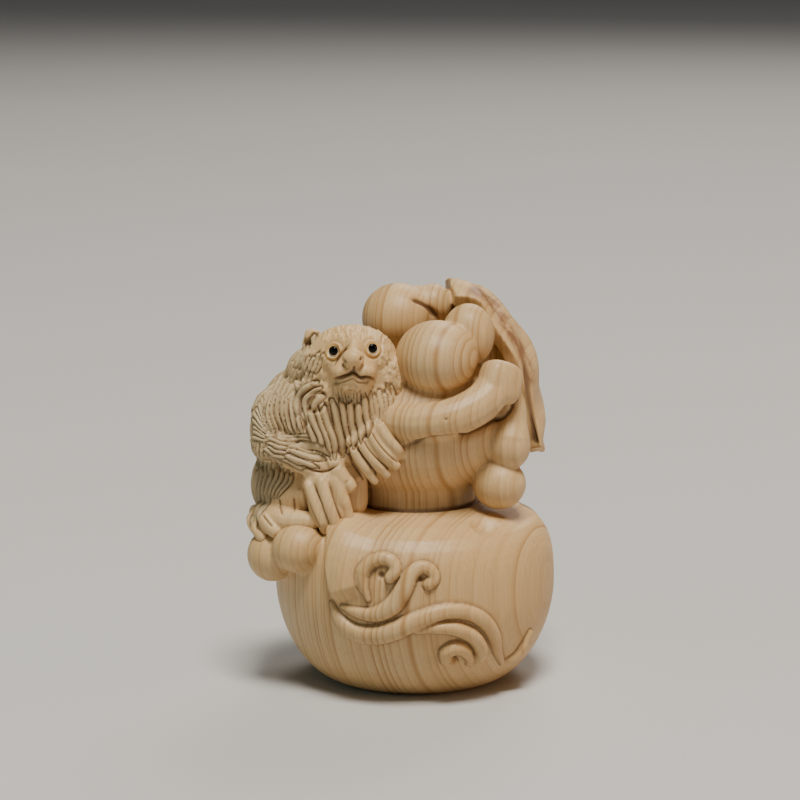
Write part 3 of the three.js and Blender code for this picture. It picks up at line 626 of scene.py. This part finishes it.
class Relief:
    """Locks raised and grooves cut on a fused form, gathered point by point in millimetres."""

    def __init__(self, piece):
        self.piece = piece
        self.place = point_values(piece.data, "co") / MM
        self.normal = point_values(piece.data, "normal")
        layers = np.zeros((6, len(self.place)))
        self.raised, self.crest, self.bed, self.cut, self.valley, self.shade_and_dirt = layers
        self.tree = BVHTree.FromObject(piece, bpy.context.evaluated_depsgraph_get())
        self.draw = random.Random(SEED).uniform

    def cast(self, start, way):
        hit = self.tree.ray_cast(Vector(start) * MM, Vector(way).normalized())[0]
        return None if hit is None else np.array(hit) / MM

    def way(self, pixel):
        """The camera's ray through a pixel, with a step of one away from the viewer."""
        across = (pixel[0] - PICTURE_SIDE / 2) / FOCAL_PIXELS
        up = (PICTURE_SIDE / 2 - pixel[1]) / FOCAL_PIXELS
        ray = CAMERA_FORWARD + across * CAMERA_RIGHT + up * CAMERA_UP
        return ray / ray[1]

    def seen(self, pixel):
        """The point of the form that the camera sees at a pixel."""
        return self.cast(CAMERA_PLACE, self.way(pixel))

    def seen_route(self, pixels, steps=6):
        points = [self.seen(pixel) for pixel in smooth_route(pixels, steps)]
        points = [point for point in points if point is not None]
        kept = points[:1]
        for point in points[1:]:
            if np.linalg.norm(point - kept[-1]) < LARGEST_STEP:
                kept.append(point)
        return np.array(kept) if len(kept) > 1 else None

    def laid(self, pixels, sink):
        """Points along pixels, a little way into the form, that keep their depth where it ends."""
        depth, points = None, []
        for pixel in smooth_route(pixels, 3):
            hit = self.seen(pixel)
            if hit is not None and (depth is None or abs(hit[1] - depth) < 1.2):
                depth = hit[1]
            if depth is not None:
                points.append(CAMERA_PLACE + self.way(pixel) * (depth + sink - CAMERA_PLACE[1]))
        return points

    def measure(self, route, reach):
        """Which points lie near a route, how far off, and how far along it."""
        low, high = route.min(0) - reach, route.max(0) + reach
        inside = np.flatnonzero(np.all((self.place > low) & (self.place < high), axis=1))
        points = self.place[inside]
        nearest = np.full(len(inside), np.inf)
        along = np.zeros(len(inside))
        for k in range(len(route) - 1):
            start, span = route[k], route[k + 1] - route[k]
            share = np.clip((points - start) @ span / max(span @ span, 1e-9), 0, 1)
            distance = np.linalg.norm(points - start - share[:, None] * span, axis=1)
            closer = distance < nearest
            nearest[closer] = distance[closer]
            along[closer] = (k + share[closer]) / (len(route) - 1)
        return inside, nearest, along

    def lock(self, route, half_widths, lift, ends=(0.6, 0.45)):
        """One rounded lock of hair, slim at its root and tip, lying over those cut before it."""
        if route is None:
            return
        half_widths = np.atleast_1d(half_widths)
        inside, distance, along = self.measure(route, max(half_widths) * 1.7)
        width = part_way(along, half_widths) * taper(along, 0.15, 0.8, *ends)
        height = lift * taper(along, 0.1, 0.85, 0.4, 0.4)
        profile = dome(distance, width) ** 0.6
        under = 1 - np.clip((1.25 - distance / width) / 0.3, 0, 1)
        self.raised[inside] = np.maximum(self.raised[inside] * under, height * profile)
        self.crest[inside] = np.maximum(self.crest[inside] * under, profile)
        near = np.clip((1.6 - distance / width) / 0.6, 0, 1) * np.clip(lift / 0.4, 0, 1)
        keep_higher(self.bed, inside, near)

    def band(self, route, half_widths, rise):
        """A raised rounded band with a fine cut along its sides, darkened there with a line of painted
        shadow.
        """
        inside, distance, along = self.measure(route, max(half_widths) + 1.4)
        width = part_way(along, half_widths)
        profile = np.sqrt(dome(distance, width, 2.3))
        height = rise * np.clip(width / max(half_widths), 0.3, 1) * profile
        keep_higher(self.raised, inside, height)
        keep_higher(self.crest, inside, profile)
        edge = np.exp(-((distance - width - 0.05) / 0.32) ** 2)
        keep_higher(self.cut, inside, BAND_MOAT * edge)
        keep_higher(self.shade_and_dirt, inside, 0.62 * edge)

    def shelf(self, route, rise, reach):
        """A step up to the right of an upright route, which then sinks back over its reach."""
        inside, distance, along = self.measure(route, reach)
        right = self.place[inside, 0] > part_way(along, route[:, 0])
        slope = 1 - smoothstep(0.2 * reach, reach, distance)
        front = np.sqrt(dome(distance, 0.7))
        height = rise * taper(along, 0.1, 0.85, 0.3, 0) * np.where(right, slope, front)
        keep_higher(self.raised, inside, height)

    def groove(self, route, half_width, depth, ends=(0.35, 0.35)):
        """A cut with sloping sides along a route, darkened with painted shade and dirt."""
        inside, distance, along = self.measure(route, half_width * 2)
        fade = taper(along, 0.15, 0.85, *ends)
        profile = np.exp(-(distance / half_width * 1.5) ** 2) * fade
        keep_higher(self.cut, inside, depth * profile)
        keep_higher(self.shade_and_dirt, inside, np.clip(profile * depth / 0.4, 0, 1))

    def grooves(self, table):
        for pixels, *sizes in table:
            self.groove(self.seen_route(pixels), *sizes)

    def hollow(self, route, half_width, depth):
        """A wide shallow valley along a route, which rounds the forms on both its sides."""
        inside, distance, along = self.measure(route, half_width)
        fade = taper(along, 0.2, 0.9, 0.2, 0.6)
        keep_higher(self.valley, inside, depth * fade * dome(distance, half_width, 1) ** 1.5)

    def dent(self, middle, radius, depth, dark):
        """A rounded hollow, darkened with painted shade by the given darkness."""
        profile = dome(np.linalg.norm(self.place - middle, axis=1), radius) ** 1.3
        self.cut = np.maximum(self.cut, depth * profile)
        self.shade_and_dirt = np.maximum(self.shade_and_dirt, dark * profile)

    def dents(self, table):
        for pixel, *sizes in table:
            self.dent(self.seen(pixel), *sizes)

    def comb(self, rails, count, lift, wave, ends=(0.6, 0.45)):
        """Locks side by side, from one line of pixels over a second to a third."""
        rails = [smooth_route(rail) for rail in rails]
        pitches = [np.sum(np.linalg.norm(np.diff(rail, axis=0), axis=1)) / count for rail in rails]
        beat = self.draw(0, 2 * math.pi)
        for i in range(count):
            share = (i + 0.5 + self.draw(-0.12, 0.12)) / count
            corners = [point_along(rail, share) for rail in rails]
            corners[0] = corners[0] + (corners[1] - corners[0]) * self.draw(-0.3, 0.15)
            pixels = smooth_route(corners, 4)
            run = pixels[-1] - pixels[0]
            side = np.array((-run[1], run[0])) / np.linalg.norm(run)
            beat += self.draw(-0.55, 0.55)
            spread = np.linspace(0, 1, len(pixels))
            sway = wave * PIXELS_PER_MM * 0.3 * np.sin(beat + 2 * math.pi * 0.9 * spread)
            pixels = pixels + side * (sway * np.clip(2 * spread, 0, 1))[:, None]
            widths = np.array(pitches) / 2 / PIXELS_PER_MM * COMB_FULLNESS * self.draw(0.92, 1.1)
            self.lock(self.seen_route(pixels, 2), widths, lift * self.draw(0.85, 1.15), ends)

    def shag(self, axis, heights, angles, count, lift):
        """A row of hanging locks round the far side, from one height to another, angles in degrees."""
        beat = 0.0
        for i in range(count):
            angle = math.radians(part_way((i + 0.5) / count, angles) + self.draw(-0.8, 0.8))
            drift = math.radians(self.draw(-4, 4))
            beat += self.draw(-0.7, 0.7)
            points = []
            top, low = (height + self.draw(-1.4, 1.4) for height in heights)
            for share in np.linspace(0, 1, 12):
                turn = angle + drift * share + SHAG_SWAY * math.sin(beat + 5 * share)
                out = np.array((math.cos(turn), math.sin(turn), 0.0))
                height = top + (low - top) * share
                point = self.cast(np.array((*axis, height)) + 40 * out, -out)
                if point is not None and (not points or np.linalg.norm(point - points[-1]) < 3.5):
                    points.append(point)
            if len(points) > 3:
                reach = np.linalg.norm(np.array(points)[:, :2] - np.array(axis), axis=1).mean()
                pitch = reach * math.radians(abs(angles[1] - angles[0])) / count
                width = pitch / 2 * self.draw(1.0, 1.2)
                self.lock(np.array(points), width, lift * self.draw(0.85, 1.15))

    def stipple(self, corners, count, flow, length):
        """Short fine hairs scattered over a patch of pixels, lying roughly one way."""
        (left, top), (right, bottom) = corners
        for _ in range(count):
            start = np.array((self.draw(left, right), self.draw(top, bottom)))
            turn = math.radians(flow + self.draw(-28, 28))
            run = np.array((math.cos(turn), -math.sin(turn))) * length * self.draw(0.7, 1.3)
            route = self.seen_route((start, start + run), 4)
            if route is not None:
                inside, distance, _ = self.measure(route, HAIR_HALF_WIDTH)
                self.raised[inside] += HAIR_LIFT * np.sqrt(dome(distance, HAIR_HALF_WIDTH))

    def carve(self, bed_depth):
        """Moves every point of the form by the height gathered for it, down to the ground at most."""
        height = self.raised - self.bed * bed_depth - self.cut - self.valley
        moved = self.place + self.normal * height[:, None]
        moved[:, 2] = np.maximum(moved[:, 2], 0)
        mesh = self.piece.data
        mesh.vertices.foreach_set("co", (moved * MM).ravel())
        mesh.update()
        # Painted shade, with some dirt: darker in the cuts and in the bed between locks, not on the crests
        shade_and_dirt = np.maximum(self.bed * (1 - self.crest) ** 1.5, self.shade_and_dirt * (1 - self.crest))
        return moved, np.clip(shade_and_dirt, 0, 1)


def thin(piece, triangles):
    """Leaves the triangles where the relief needs them."""
    piece.data.calc_loop_triangles()
    have = len(piece.data.loop_triangles)
    if have > triangles:
        fewer = piece.modifiers.new("thin", "DECIMATE")
        fewer.ratio = triangles / have
        apply_modifiers(piece)


def stain(piece, places, layers):
    """Writes named values at each point, taken from the nearest of the given places."""
    tree = KDTree(len(places))
    for i, place in enumerate(places):
        tree.insert(place, i)
    tree.balance()
    nearest = [tree.find(vertex.co / MM)[1] for vertex in piece.data.vertices]
    for name, values in layers.items():
        layer = piece.data.attributes.new(name, "FLOAT", "POINT")
        layer.data.foreach_set("value", values[nearest])


def shade_smooth(piece):
    keep_only(piece)
    bpy.ops.object.shade_smooth()


def finish_relief(relief, bed_depth, triangles, flecks_and_fur_shade):
    places, shade_and_dirt = relief.carve(bed_depth)
    thin(relief.piece, triangles)
    stain(relief.piece, places, {"shade_and_dirt": shade_and_dirt, "flecks_and_fur_shade": flecks_and_fur_shade})
    shade_smooth(relief.piece)
    return relief.piece


def gourd_forms():
    return [
        double_gourd(), *each(lump, SMALL_GOURDS),
        bar("stem", STEM_ROUTE, STEM_RADII), pad("stem_end", *STEM_END),
        bar("stem_root", *STEM_ROOT), bar("stalk", STALK_ROUTE, STALK_RADII), leaf(),
    ]


def carve_gourd(sizes):
    relief = Relief(fuse(gourd_forms(), "gourd", sizes.gourd_voxel / MM, 5))
    relief.shelf(relief.seen_route(RIB, 8), 1.9, 8.0)
    turns = np.linspace(0, 2 * math.pi, 60)
    radius, height = NECK_GROOVE
    lean = float(gourd_lean(NECK_HEIGHT))
    neck = [(lean + radius * math.cos(turn), radius * math.sin(turn), height) for turn in turns]
    relief.groove(np.array(neck), 0.8, 0.7, (1, 1))
    for pixels, half_widths, rise in SCROLLS.values():
        relief.band(relief.seen_route(pixels, 8), half_widths, rise)
    relief.grooves(GOURD_CUTS)
    relief.hollow(relief.seen_route(STEM_UNDER), 1.5, 0.6)
    relief.dents(GOURD_DENTS)
    # A pocket under the hanging fruit, darkened a little with painted shade
    relief.dent(on_front(*SHOULDER_HOLLOW), 3.2, 1.6, 0.3)
    flecks_and_fur_shade = np.zeros(len(relief.place))
    inside, distance, _ = relief.measure(relief.seen_route(LEAF_FLECKS, 8), 3.0)
    flecks_and_fur_shade[inside] = 1 - smoothstep(0.9, 2.8, distance)
    return finish_relief(relief, 0, sizes.gourd_triangles, flecks_and_fur_shade)


def monkey_forms(sizes):
    broad = each(lump, BODY_FORMS) + each(bar, LIMBS) + each(pad, HAND_PADS)
    body = fuse(broad, "body", BODY_VOXEL, 8)
    ground = Relief(body)
    fine = [body]
    for name, (pixels, radii) in FINGERS.items():
        fine.append(bar(name, ground.laid(pixels, FINGER_SINK), radii, 2))
    fine += each(lump, FACE_FORMS) + each(pad, EAR_PAD) + each(bar, FINE_BARS)
    return fuse(fine, "monkey", sizes.monkey_voxel / MM, 4)


def carve_eyes(relief):
    """Cuts a flat seat for each bead, with a raised rim, and a trench round it darkened with painted shade.
    """
    for middle, way in EYES.values():
        way = np.array(Vector(way).normalized())
        distance = np.linalg.norm(relief.place - middle, axis=1)
        near = np.flatnonzero((distance < 4) & (relief.normal @ way > 0))
        in_front = (relief.place[near] - middle) @ way
        aside = np.sqrt(np.clip(distance[near] ** 2 - in_front ** 2, 0, None))
        level = 0.05 - 0.25 * np.clip(aside / LID_RADIUS, 0, 1) ** 2
        seat = aside < LID_RADIUS * 1.05
        relief.cut[near[seat]] = (in_front - level)[seat]
        rim = np.exp(-((aside - LID_RADIUS - 0.15) / 0.2) ** 2)
        keep_higher(relief.raised, near, 0.2 * rim)
        trench = np.exp(-((aside - LID_RADIUS - 0.62) / 0.22) ** 2)
        outer = aside > LID_RADIUS
        keep_higher(relief.cut, near[outer], 0.22 * trench[outer])
        keep_higher(relief.shade_and_dirt, near, 0.6 * trench * np.exp(-(aside / 2.2) ** 4))


def carve_fur(relief):
    for row in SHAG:
        relief.shag(*row)
    for row in COMBS:
        relief.comb(*row)
    for pixels, half_width in CURL_LOCKS:
        relief.lock(relief.seen_route(pixels), half_width, 0.6, (0.6, 0.6))
    for pixels in FOREARM_WAVES:
        relief.lock(relief.seen_route(pixels), (0.5, 0.75, 0.5), 0.55, (0.5, 0.4))
    relief.hollow(relief.seen_route(CUFF), 0.7, 0.2)
    for row in STIPPLES:
        relief.stipple(*row)


def carve_monkey(sizes):
    relief = Relief(monkey_forms(sizes))
    carve_fur(relief)
    relief.grooves(BODY_CUTS)
    carve_eyes(relief)
    relief.grooves(FACE_CUTS)
    relief.lock(relief.seen_route(LOWER_LIP), 0.42, 0.3, (0.7, 0.6))
    relief.dents(FACE_DENTS)
    # The bed between locks also sets where painted shade goes on the fur
    return finish_relief(relief, sizes.bed_depth / MM, sizes.monkey_triangles, relief.bed)


def bead(name, middle, way):
    """A short domed peg of black glass."""
    turns = np.linspace(math.pi / 2, 0, 9)
    rim = [(BEAD_RADIUS * math.sin(turn), BEAD_DOME * math.cos(turn)) for turn in turns]
    piece = spun(name, [(0, -BEAD_LENGTH), (BEAD_RADIUS, -BEAD_LENGTH + 0.01), *rim], 32, 0.002)
    piece.rotation_mode = "QUATERNION"
    piece.rotation_quaternion = Vector(way).normalized().to_track_quat("Z", "Y")
    piece.location = Vector(middle) * MM
    settle(piece)
    shade_smooth(piece)
    return piece


class Shading:
    """Adds nodes to one shader tree."""

    def __init__(self, tree):
        self.tree = tree

    def new(self, kind, **settings):
        node = self.tree.nodes.new(kind)
        for name, value in settings.items():
            setattr(node, name, value)
        return node

    def feed(self, value, socket):
        """Links an output to a socket, or sets the socket to a plain value."""
        if isinstance(value, bpy.types.NodeSocket):
            self.tree.links.new(value, socket)
        else:
            socket.default_value = value

    def calc(self, operation, *values):
        node = self.new("ShaderNodeMath", operation=operation)
        for value, socket in zip(values, node.inputs):
            self.feed(value, socket)
        return node.outputs[0]

    def mix(self, share, first, second):
        node = self.new("ShaderNodeMix", data_type="RGBA")
        for value, socket in zip((share, first, second), (node.inputs[0], *node.inputs[6:8])):
            self.feed(value, socket)
        return node.outputs[2]

    def ramp(self, value, stops):
        node = self.new("ShaderNodeValToRGB")
        self.feed(value, node.inputs["Fac"])
        elements = node.color_ramp.elements
        elements[0].position, elements[1].position = stops[0][0], stops[-1][0]
        for position, _ in stops[1:-1]:
            elements.new(position)
        for element, (_, level) in zip(elements, stops):
            element.color = (level, level, level, 1)
        return node.outputs["Color"]

    def noise(self, vector, scale, detail=2.0, roughness=0.5, stretch=(1, 1, 1)):
        mapping = self.new("ShaderNodeMapping")
        node = self.new("ShaderNodeTexNoise")
        for value, socket in (
                (vector, mapping.inputs["Vector"]), (stretch, mapping.inputs["Scale"]),
                (mapping.outputs[0], node.inputs["Vector"]), (scale, node.inputs["Scale"]),
                (detail, node.inputs["Detail"]), (roughness, node.inputs["Roughness"])):
            self.feed(value, socket)
        return node.outputs["Fac"]

    def group(self, name, vector):
        node = self.new("ShaderNodeGroup", node_tree=bpy.data.node_groups[name])
        self.feed(vector, node.inputs["Vector"])
        return node.outputs

    def attribute(self, name):
        return self.new("ShaderNodeAttribute", attribute_name=name).outputs["Fac"]


def new_group(name, floats, outputs):
    group = bpy.data.node_groups.new(name, "ShaderNodeTree")
    group.interface.new_socket("Vector", in_out="INPUT", socket_type="NodeSocketVector")
    for label, value in floats.items():
        socket = group.interface.new_socket(label, in_out="INPUT", socket_type="NodeSocketFloat")
        socket.default_value = value
    for label in outputs:
        group.interface.new_socket(label, in_out="OUTPUT", socket_type="NodeSocketFloat")
    nodes = Shading(group)
    return nodes, nodes.new("NodeGroupInput").outputs, nodes.new("NodeGroupOutput").inputs


def growth_rings_group():
    """Rings round an upright pith: how tan the wood is at a place."""
    nodes, given, result = new_group("growth_rings", RING_VALUES, ("Ring",))
    calc = nodes.calc
    split = nodes.new("ShaderNodeSeparateXYZ")
    nodes.feed(given["Vector"], split.inputs[0])
    across = calc("SUBTRACT", split.outputs["X"], given["Pith X"])
    deep = calc("SUBTRACT", split.outputs["Y"], given["Pith Y"])
    distance = calc("SQRT", calc("ADD", calc("MULTIPLY", across, across), calc("MULTIPLY", deep, deep)))
    drift = calc("SUBTRACT", nodes.noise(given["Vector"], 45, 1.5, 0.45, (1, 1, 0.35)), 0.5)
    drift = calc("MULTIPLY", drift, given["Waviness"])
    years = calc("DIVIDE", calc("ADD", distance, drift), given["Spacing"])
    uneven = nodes.new("ShaderNodeTexNoise", noise_dimensions="1D")
    uneven.inputs["Scale"].default_value = 0.55
    uneven.inputs["Detail"].default_value = 1
    nodes.feed(years, uneven.inputs["W"])
    years = calc("ADD", years, calc("MULTIPLY", uneven.outputs["Fac"], 1.8))
    profile = nodes.ramp(calc("FRACT", years), RING_PROFILE)
    toss = nodes.new("ShaderNodeTexWhiteNoise", noise_dimensions="1D")
    nodes.feed(calc("FLOOR", years), toss.inputs["W"])
    strength = calc("ADD", calc("MULTIPLY", calc("POWER", toss.outputs["Value"], 1.6), 0.85), 0.15)
    fine = nodes.ramp(calc("FRACT", calc("MULTIPLY", years, 2.7)), FINE_PROFILE)
    ring = calc("ADD", calc("MULTIPLY", profile, strength), calc("MULTIPLY", fine, 0.13))
    nodes.feed(ring, result["Ring"])


def wood_fibre_group():
    """Fine upright fibres, soft blotches and pores."""
    nodes, given, result = new_group("wood_fibre", {}, FIBRES)
    for label, pattern in FIBRES.items():
        nodes.feed(nodes.noise(given["Vector"], *pattern), result[label])


def rgba(colour):
    return (*colour, 1)


def new_material(name):
    material = bpy.data.materials.new(name)
    material.use_nodes = True
    nodes = Shading(material.node_tree)
    place = nodes.new("ShaderNodeTexCoord").outputs["Object"]
    return material, nodes, nodes.tree.nodes["Principled BSDF"], place


def reach_from(nodes, place, middle):
    """How far a place lies from a point, as a share of two millimetres."""
    seat = nodes.new("ShaderNodeVectorMath", operation="DISTANCE")
    nodes.feed(place, seat.inputs[0])
    seat.inputs[1].default_value = Vector(middle) * MM
    return nodes.calc("DIVIDE", seat.outputs["Value"], 2 * MM)


def leaf_flecks(nodes, place, fleck_and_shade_share, colour, colours):
    flecks = nodes.ramp(nodes.noise(place, 480, 4, 0.7, (1, 1, 0.45)), ((0.4, 0.25), (0.56, 0.9)))
    return nodes.mix(nodes.calc("MULTIPLY", flecks, fleck_and_shade_share), colour, rgba(colours.bark))


def fur_shade_and_eyes(nodes, place, fleck_and_shade_share, colour, colours):
    aside = nodes.new("ShaderNodeSeparateXYZ")
    nodes.feed(place, aside.inputs[0])
    # Painted shade: grey green in the bed between locks, growing towards the monkey's shaded left side
    shady = nodes.ramp(nodes.calc("MULTIPLY", aside.outputs["X"], -40), ((0.4, 0.12), (0.95, 0.48)))
    colour = nodes.mix(nodes.calc("MULTIPLY", shady, fleck_and_shade_share), colour, rgba(colours.left_fur_shade))
    for middle, _ in EYES.values():
        white = nodes.ramp(reach_from(nodes, place, np.array(middle) + WHITE_SHIFT), WHITE_SEAT)
        colour = nodes.mix(white, colour, rgba(colours.eye_white))
        rim = nodes.ramp(reach_from(nodes, place, np.array(middle) + AMBER_DROP), AMBER_RIM)
        colour = nodes.mix(rim, colour, rgba(colours.amber))
    return colour


def boxwood(name, colours, ring_strength, dress):
    """Satin boxwood with tan growth rings, darkened in its cuts with painted shade and dirt."""
    material, nodes, shader, place = new_material(name)
    rings = nodes.group("growth_rings", place)
    fibre = nodes.group("wood_fibre", place)
    calc, mix = nodes.calc, nodes.mix
    ring = calc("MULTIPLY", rings["Ring"], ring_strength)
    colour = mix(ring, rgba(colours.pale_wood), rgba(colours.tan_ring))
    colour = mix(nodes.ramp(fibre["Blotch"], ((0.35, 0), (0.66, 0.6))), colour, rgba(colours.warm_wood))
    colour = mix(nodes.ramp(fibre["Fibre"], ((0.35, 0), (0.75, 0.3))), colour, rgba(colours.tan_ring))
    colour = dress(nodes, place, nodes.attribute("flecks_and_fur_shade"), colour, colours)
    # Painted shade, with some dirt: cuts, hollows and the bed between locks are made darker
    dark = nodes.ramp(nodes.attribute("shade_and_dirt"), ((0.2, 0), (0.55, 0.6), (0.9, 0.95)))
    nodes.feed(mix(dark, colour, rgba(colours.shade_and_dirt)), shader.inputs["Base Color"])
    rough = calc("ADD", calc("MULTIPLY", fibre["Fibre"], 0.16), 0.4)
    nodes.feed(calc("ADD", rough, calc("MULTIPLY", dark, 0.2)), shader.inputs["Roughness"])
    shader.inputs["Specular IOR Level"].default_value = 0.45
    shader.inputs["Subsurface Weight"].default_value = 0.06
    shader.inputs["Subsurface Radius"].default_value = (0.0012, 0.0007, 0.0004)
    shader.inputs["Subsurface Scale"].default_value = 1.0
    bump = nodes.new("ShaderNodeBump")
    bump.inputs["Strength"].default_value = 0.18
    bump.inputs["Distance"].default_value = 0.0002
    height = calc("SUBTRACT", fibre["Fibre"], calc("MULTIPLY", rings["Ring"], 0.4))
    nodes.feed(calc("ADD", height, calc("MULTIPLY", fibre["Pores"], 0.5)), bump.inputs["Height"])
    nodes.feed(bump.outputs["Normal"], shader.inputs["Normal"])
    return material


def black_glass(colours):
    material, nodes, shader, place = new_material("black_glass")
    shader.inputs["Specular IOR Level"].default_value = 0.14
    swirl = nodes.noise(place, 900, 2)
    nodes.feed(nodes.mix(swirl, rgba(colours.bead), GLASS_SWIRL), shader.inputs["Base Color"])
    rough = nodes.calc("ADD", nodes.calc("MULTIPLY", swirl, 0.06), 0.05)
    nodes.feed(rough, shader.inputs["Roughness"])
    return material


def pale_floor():
    material, nodes, shader, place = new_material("studio_floor")
    nodes.feed(nodes.mix(nodes.noise(place, 3, 2), *FLOOR_TONES), shader.inputs["Base Color"])
    shader.inputs["Roughness"].default_value = 0.8
    return material


def give_material(piece, material):
    piece.data.materials.clear()
    piece.data.materials.append(material)


class CarvingSizes(bpy.types.PropertyGroup):
    gourd_voxel: bpy.props.FloatProperty(
        name="Gourd grain", description="Finest step of the gourd's skin", default=0.28 * MM, unit="LENGTH")
    monkey_voxel: bpy.props.FloatProperty(
        name="Monkey grain", description="Finest step of the monkey's skin", default=0.19 * MM, unit="LENGTH")
    bed_depth: bpy.props.FloatProperty(
        name="Fur bed", description="Depth of the ground between locks", default=0.65 * MM, unit="LENGTH")
    gourd_triangles: bpy.props.IntProperty(
        name="Gourd triangles", description="Triangles left in the gourd", default=150000)
    monkey_triangles: bpy.props.IntProperty(
        name="Monkey triangles", description="Triangles left in the monkey", default=196000)


class CarvingColours(bpy.types.PropertyGroup):
    pale_wood: bpy.props.FloatVectorProperty(
        name="Pale wood", description="Wood between the rings", subtype="COLOR", default=(0.68, 0.485, 0.25))
    tan_ring: bpy.props.FloatVectorProperty(
        name="Tan ring", description="Late wood of each ring", subtype="COLOR", default=(0.37, 0.195, 0.065))
    warm_wood: bpy.props.FloatVectorProperty(
        name="Warm wood", description="Soft yellow blotches", subtype="COLOR", default=(0.6, 0.37, 0.14))
    # Painted shade and dirt: the brown that darkens cuts, hollows and the bed between locks
    shade_and_dirt: bpy.props.FloatVectorProperty(
        name="Cuts", description="Brown left in the cuts", subtype="COLOR", default=(0.16, 0.08, 0.03))
    bark: bpy.props.FloatVectorProperty(
        name="Leaf flecks", description="Flecks along the leaf", subtype="COLOR", default=(0.2, 0.085, 0.035))
    # Painted shade: the grey green of the fur's shaded left side
    left_fur_shade: bpy.props.FloatVectorProperty(
        name="Patina", description="Grey green of the fur", subtype="COLOR", default=(0.29, 0.27, 0.175))
    eye_white: bpy.props.FloatVectorProperty(
        name="Eye white", description="Seat round the beads", subtype="COLOR", default=(0.78, 0.66, 0.46))
    amber: bpy.props.FloatVectorProperty(
        name="Eye rim", description="Stain round the beads", subtype="COLOR", default=(0.55, 0.3, 0.06))
    bead: bpy.props.FloatVectorProperty(
        name="Bead", description="Black of the eye beads", subtype="COLOR", default=(0.002, 0.002, 0.002))


class CARVING_OT_wood(bpy.types.Operator):
    """Carve the monkey and the gourd from one block of boxwood"""
    bl_idname = "carving.wood"
    bl_label = "Carve Monkey and Gourd"

    def execute(self, context):
        sizes, colours = context.scene.carving_sizes, context.scene.carving_colours
        growth_rings_group()
        wood_fibre_group()
        gourd = carve_gourd(sizes)
        monkey = carve_monkey(sizes)
        give_material(gourd, boxwood("gourd_boxwood", colours, GOURD_RING_STRENGTH, leaf_flecks))
        give_material(monkey, boxwood("monkey_boxwood", colours, MONKEY_RING_STRENGTH, fur_shade_and_eyes))
        for piece in (gourd, monkey):
            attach(piece, "root")
            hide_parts("carving")
        return {"FINISHED"}


class CARVING_OT_eyes(bpy.types.Operator):
    """Inlay the two black eye beads"""
    bl_idname = "carving.eyes"
    bl_label = "Inlay Eyes"

    def execute(self, context):
        material = black_glass(context.scene.carving_colours)
        for name, (middle, way) in EYES.items():
            piece = bead(name, middle, way)
            give_material(piece, material)
            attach(piece, "root")
            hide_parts(f"{name}_bead")
        return {"FINISHED"}


def light_studio(scene):
    for name, place, size, power, tint in LIGHTS:
        light = bpy.data.lights.new(name, "AREA")
        light.size = size
        light.energy = power
        light.color = tint
        lamp = add_object(name, light)
        lamp.location = place
        lamp.rotation_euler = (Vector(LIGHT_AIM) - lamp.location).to_track_quat("-Z", "Y").to_euler()
    world = bpy.data.worlds.new("studio")
    world.use_nodes = True
    sky = world.node_tree.nodes["Background"]
    sky.inputs["Color"].default_value, sky.inputs["Strength"].default_value = SKY
    scene.world = world


def set_camera(scene):
    lens = bpy.data.cameras.new("camera")
    lens.sensor_width = SENSOR_WIDTH
    lens.lens = FOCAL_PIXELS / PICTURE_SIDE * SENSOR_WIDTH
    lens.clip_start = 0.02
    camera = add_object("camera", lens)
    camera.location = Vector(CAMERA_PLACE) * MM
    camera.rotation_euler = (math.pi / 2 - CAMERA_ELEVATION, 0, 0)
    scene.camera = camera


class CARVING_OT_studio(bpy.types.Operator):
    """Set the floor, the soft lights and the camera"""
    bl_idname = "carving.studio"
    bl_label = "Set Studio"

    def execute(self, context):
        deselect_all()
        bpy.ops.mesh.primitive_plane_add(size=16)
        floor = new_piece("studio_floor")
        bpy.ops.object.mode_set(mode="EDIT")
        bpy.ops.mesh.subdivide(number_cuts=3)
        bpy.ops.object.mode_set(mode="OBJECT")
        give_material(floor, pale_floor())
        light_studio(context.scene)
        set_camera(context.scene)
        return {"FINISHED"}


class CARVING_PT_panel(bpy.types.Panel):
    """Sizes, colours and steps of the carving"""
    bl_label = "Boxwood Monkey"
    bl_idname = "CARVING_PT_panel"
    bl_space_type = "VIEW_3D"
    bl_region_type = "UI"
    bl_category = "Carving"

    def draw(self, context):
        for group in (context.scene.carving_sizes, context.scene.carving_colours):
            box = self.layout.box()
            for name in group.__annotations__:
                box.prop(group, name)
        for operator in (CARVING_OT_wood, CARVING_OT_eyes, CARVING_OT_studio):
            self.layout.operator(operator.bl_idname)


CLASSES = (
    CarvingSizes, CarvingColours, CARVING_OT_wood, CARVING_OT_eyes, CARVING_OT_studio, CARVING_PT_panel)


def register():
    for item in CLASSES:
        bpy.utils.register_class(item)
    bpy.types.Scene.carving_sizes = bpy.props.PointerProperty(type=CarvingSizes)
    bpy.types.Scene.carving_colours = bpy.props.PointerProperty(type=CarvingColours)


def unregister():
    del bpy.types.Scene.carving_colours
    del bpy.types.Scene.carving_sizes
    for item in reversed(CLASSES):
        bpy.utils.unregister_class(item)


def main():
    register()
    bpy.ops.carving.wood()
    bpy.ops.carving.eyes()
    bpy.ops.carving.studio()


if __name__ == "__main__":
    main()
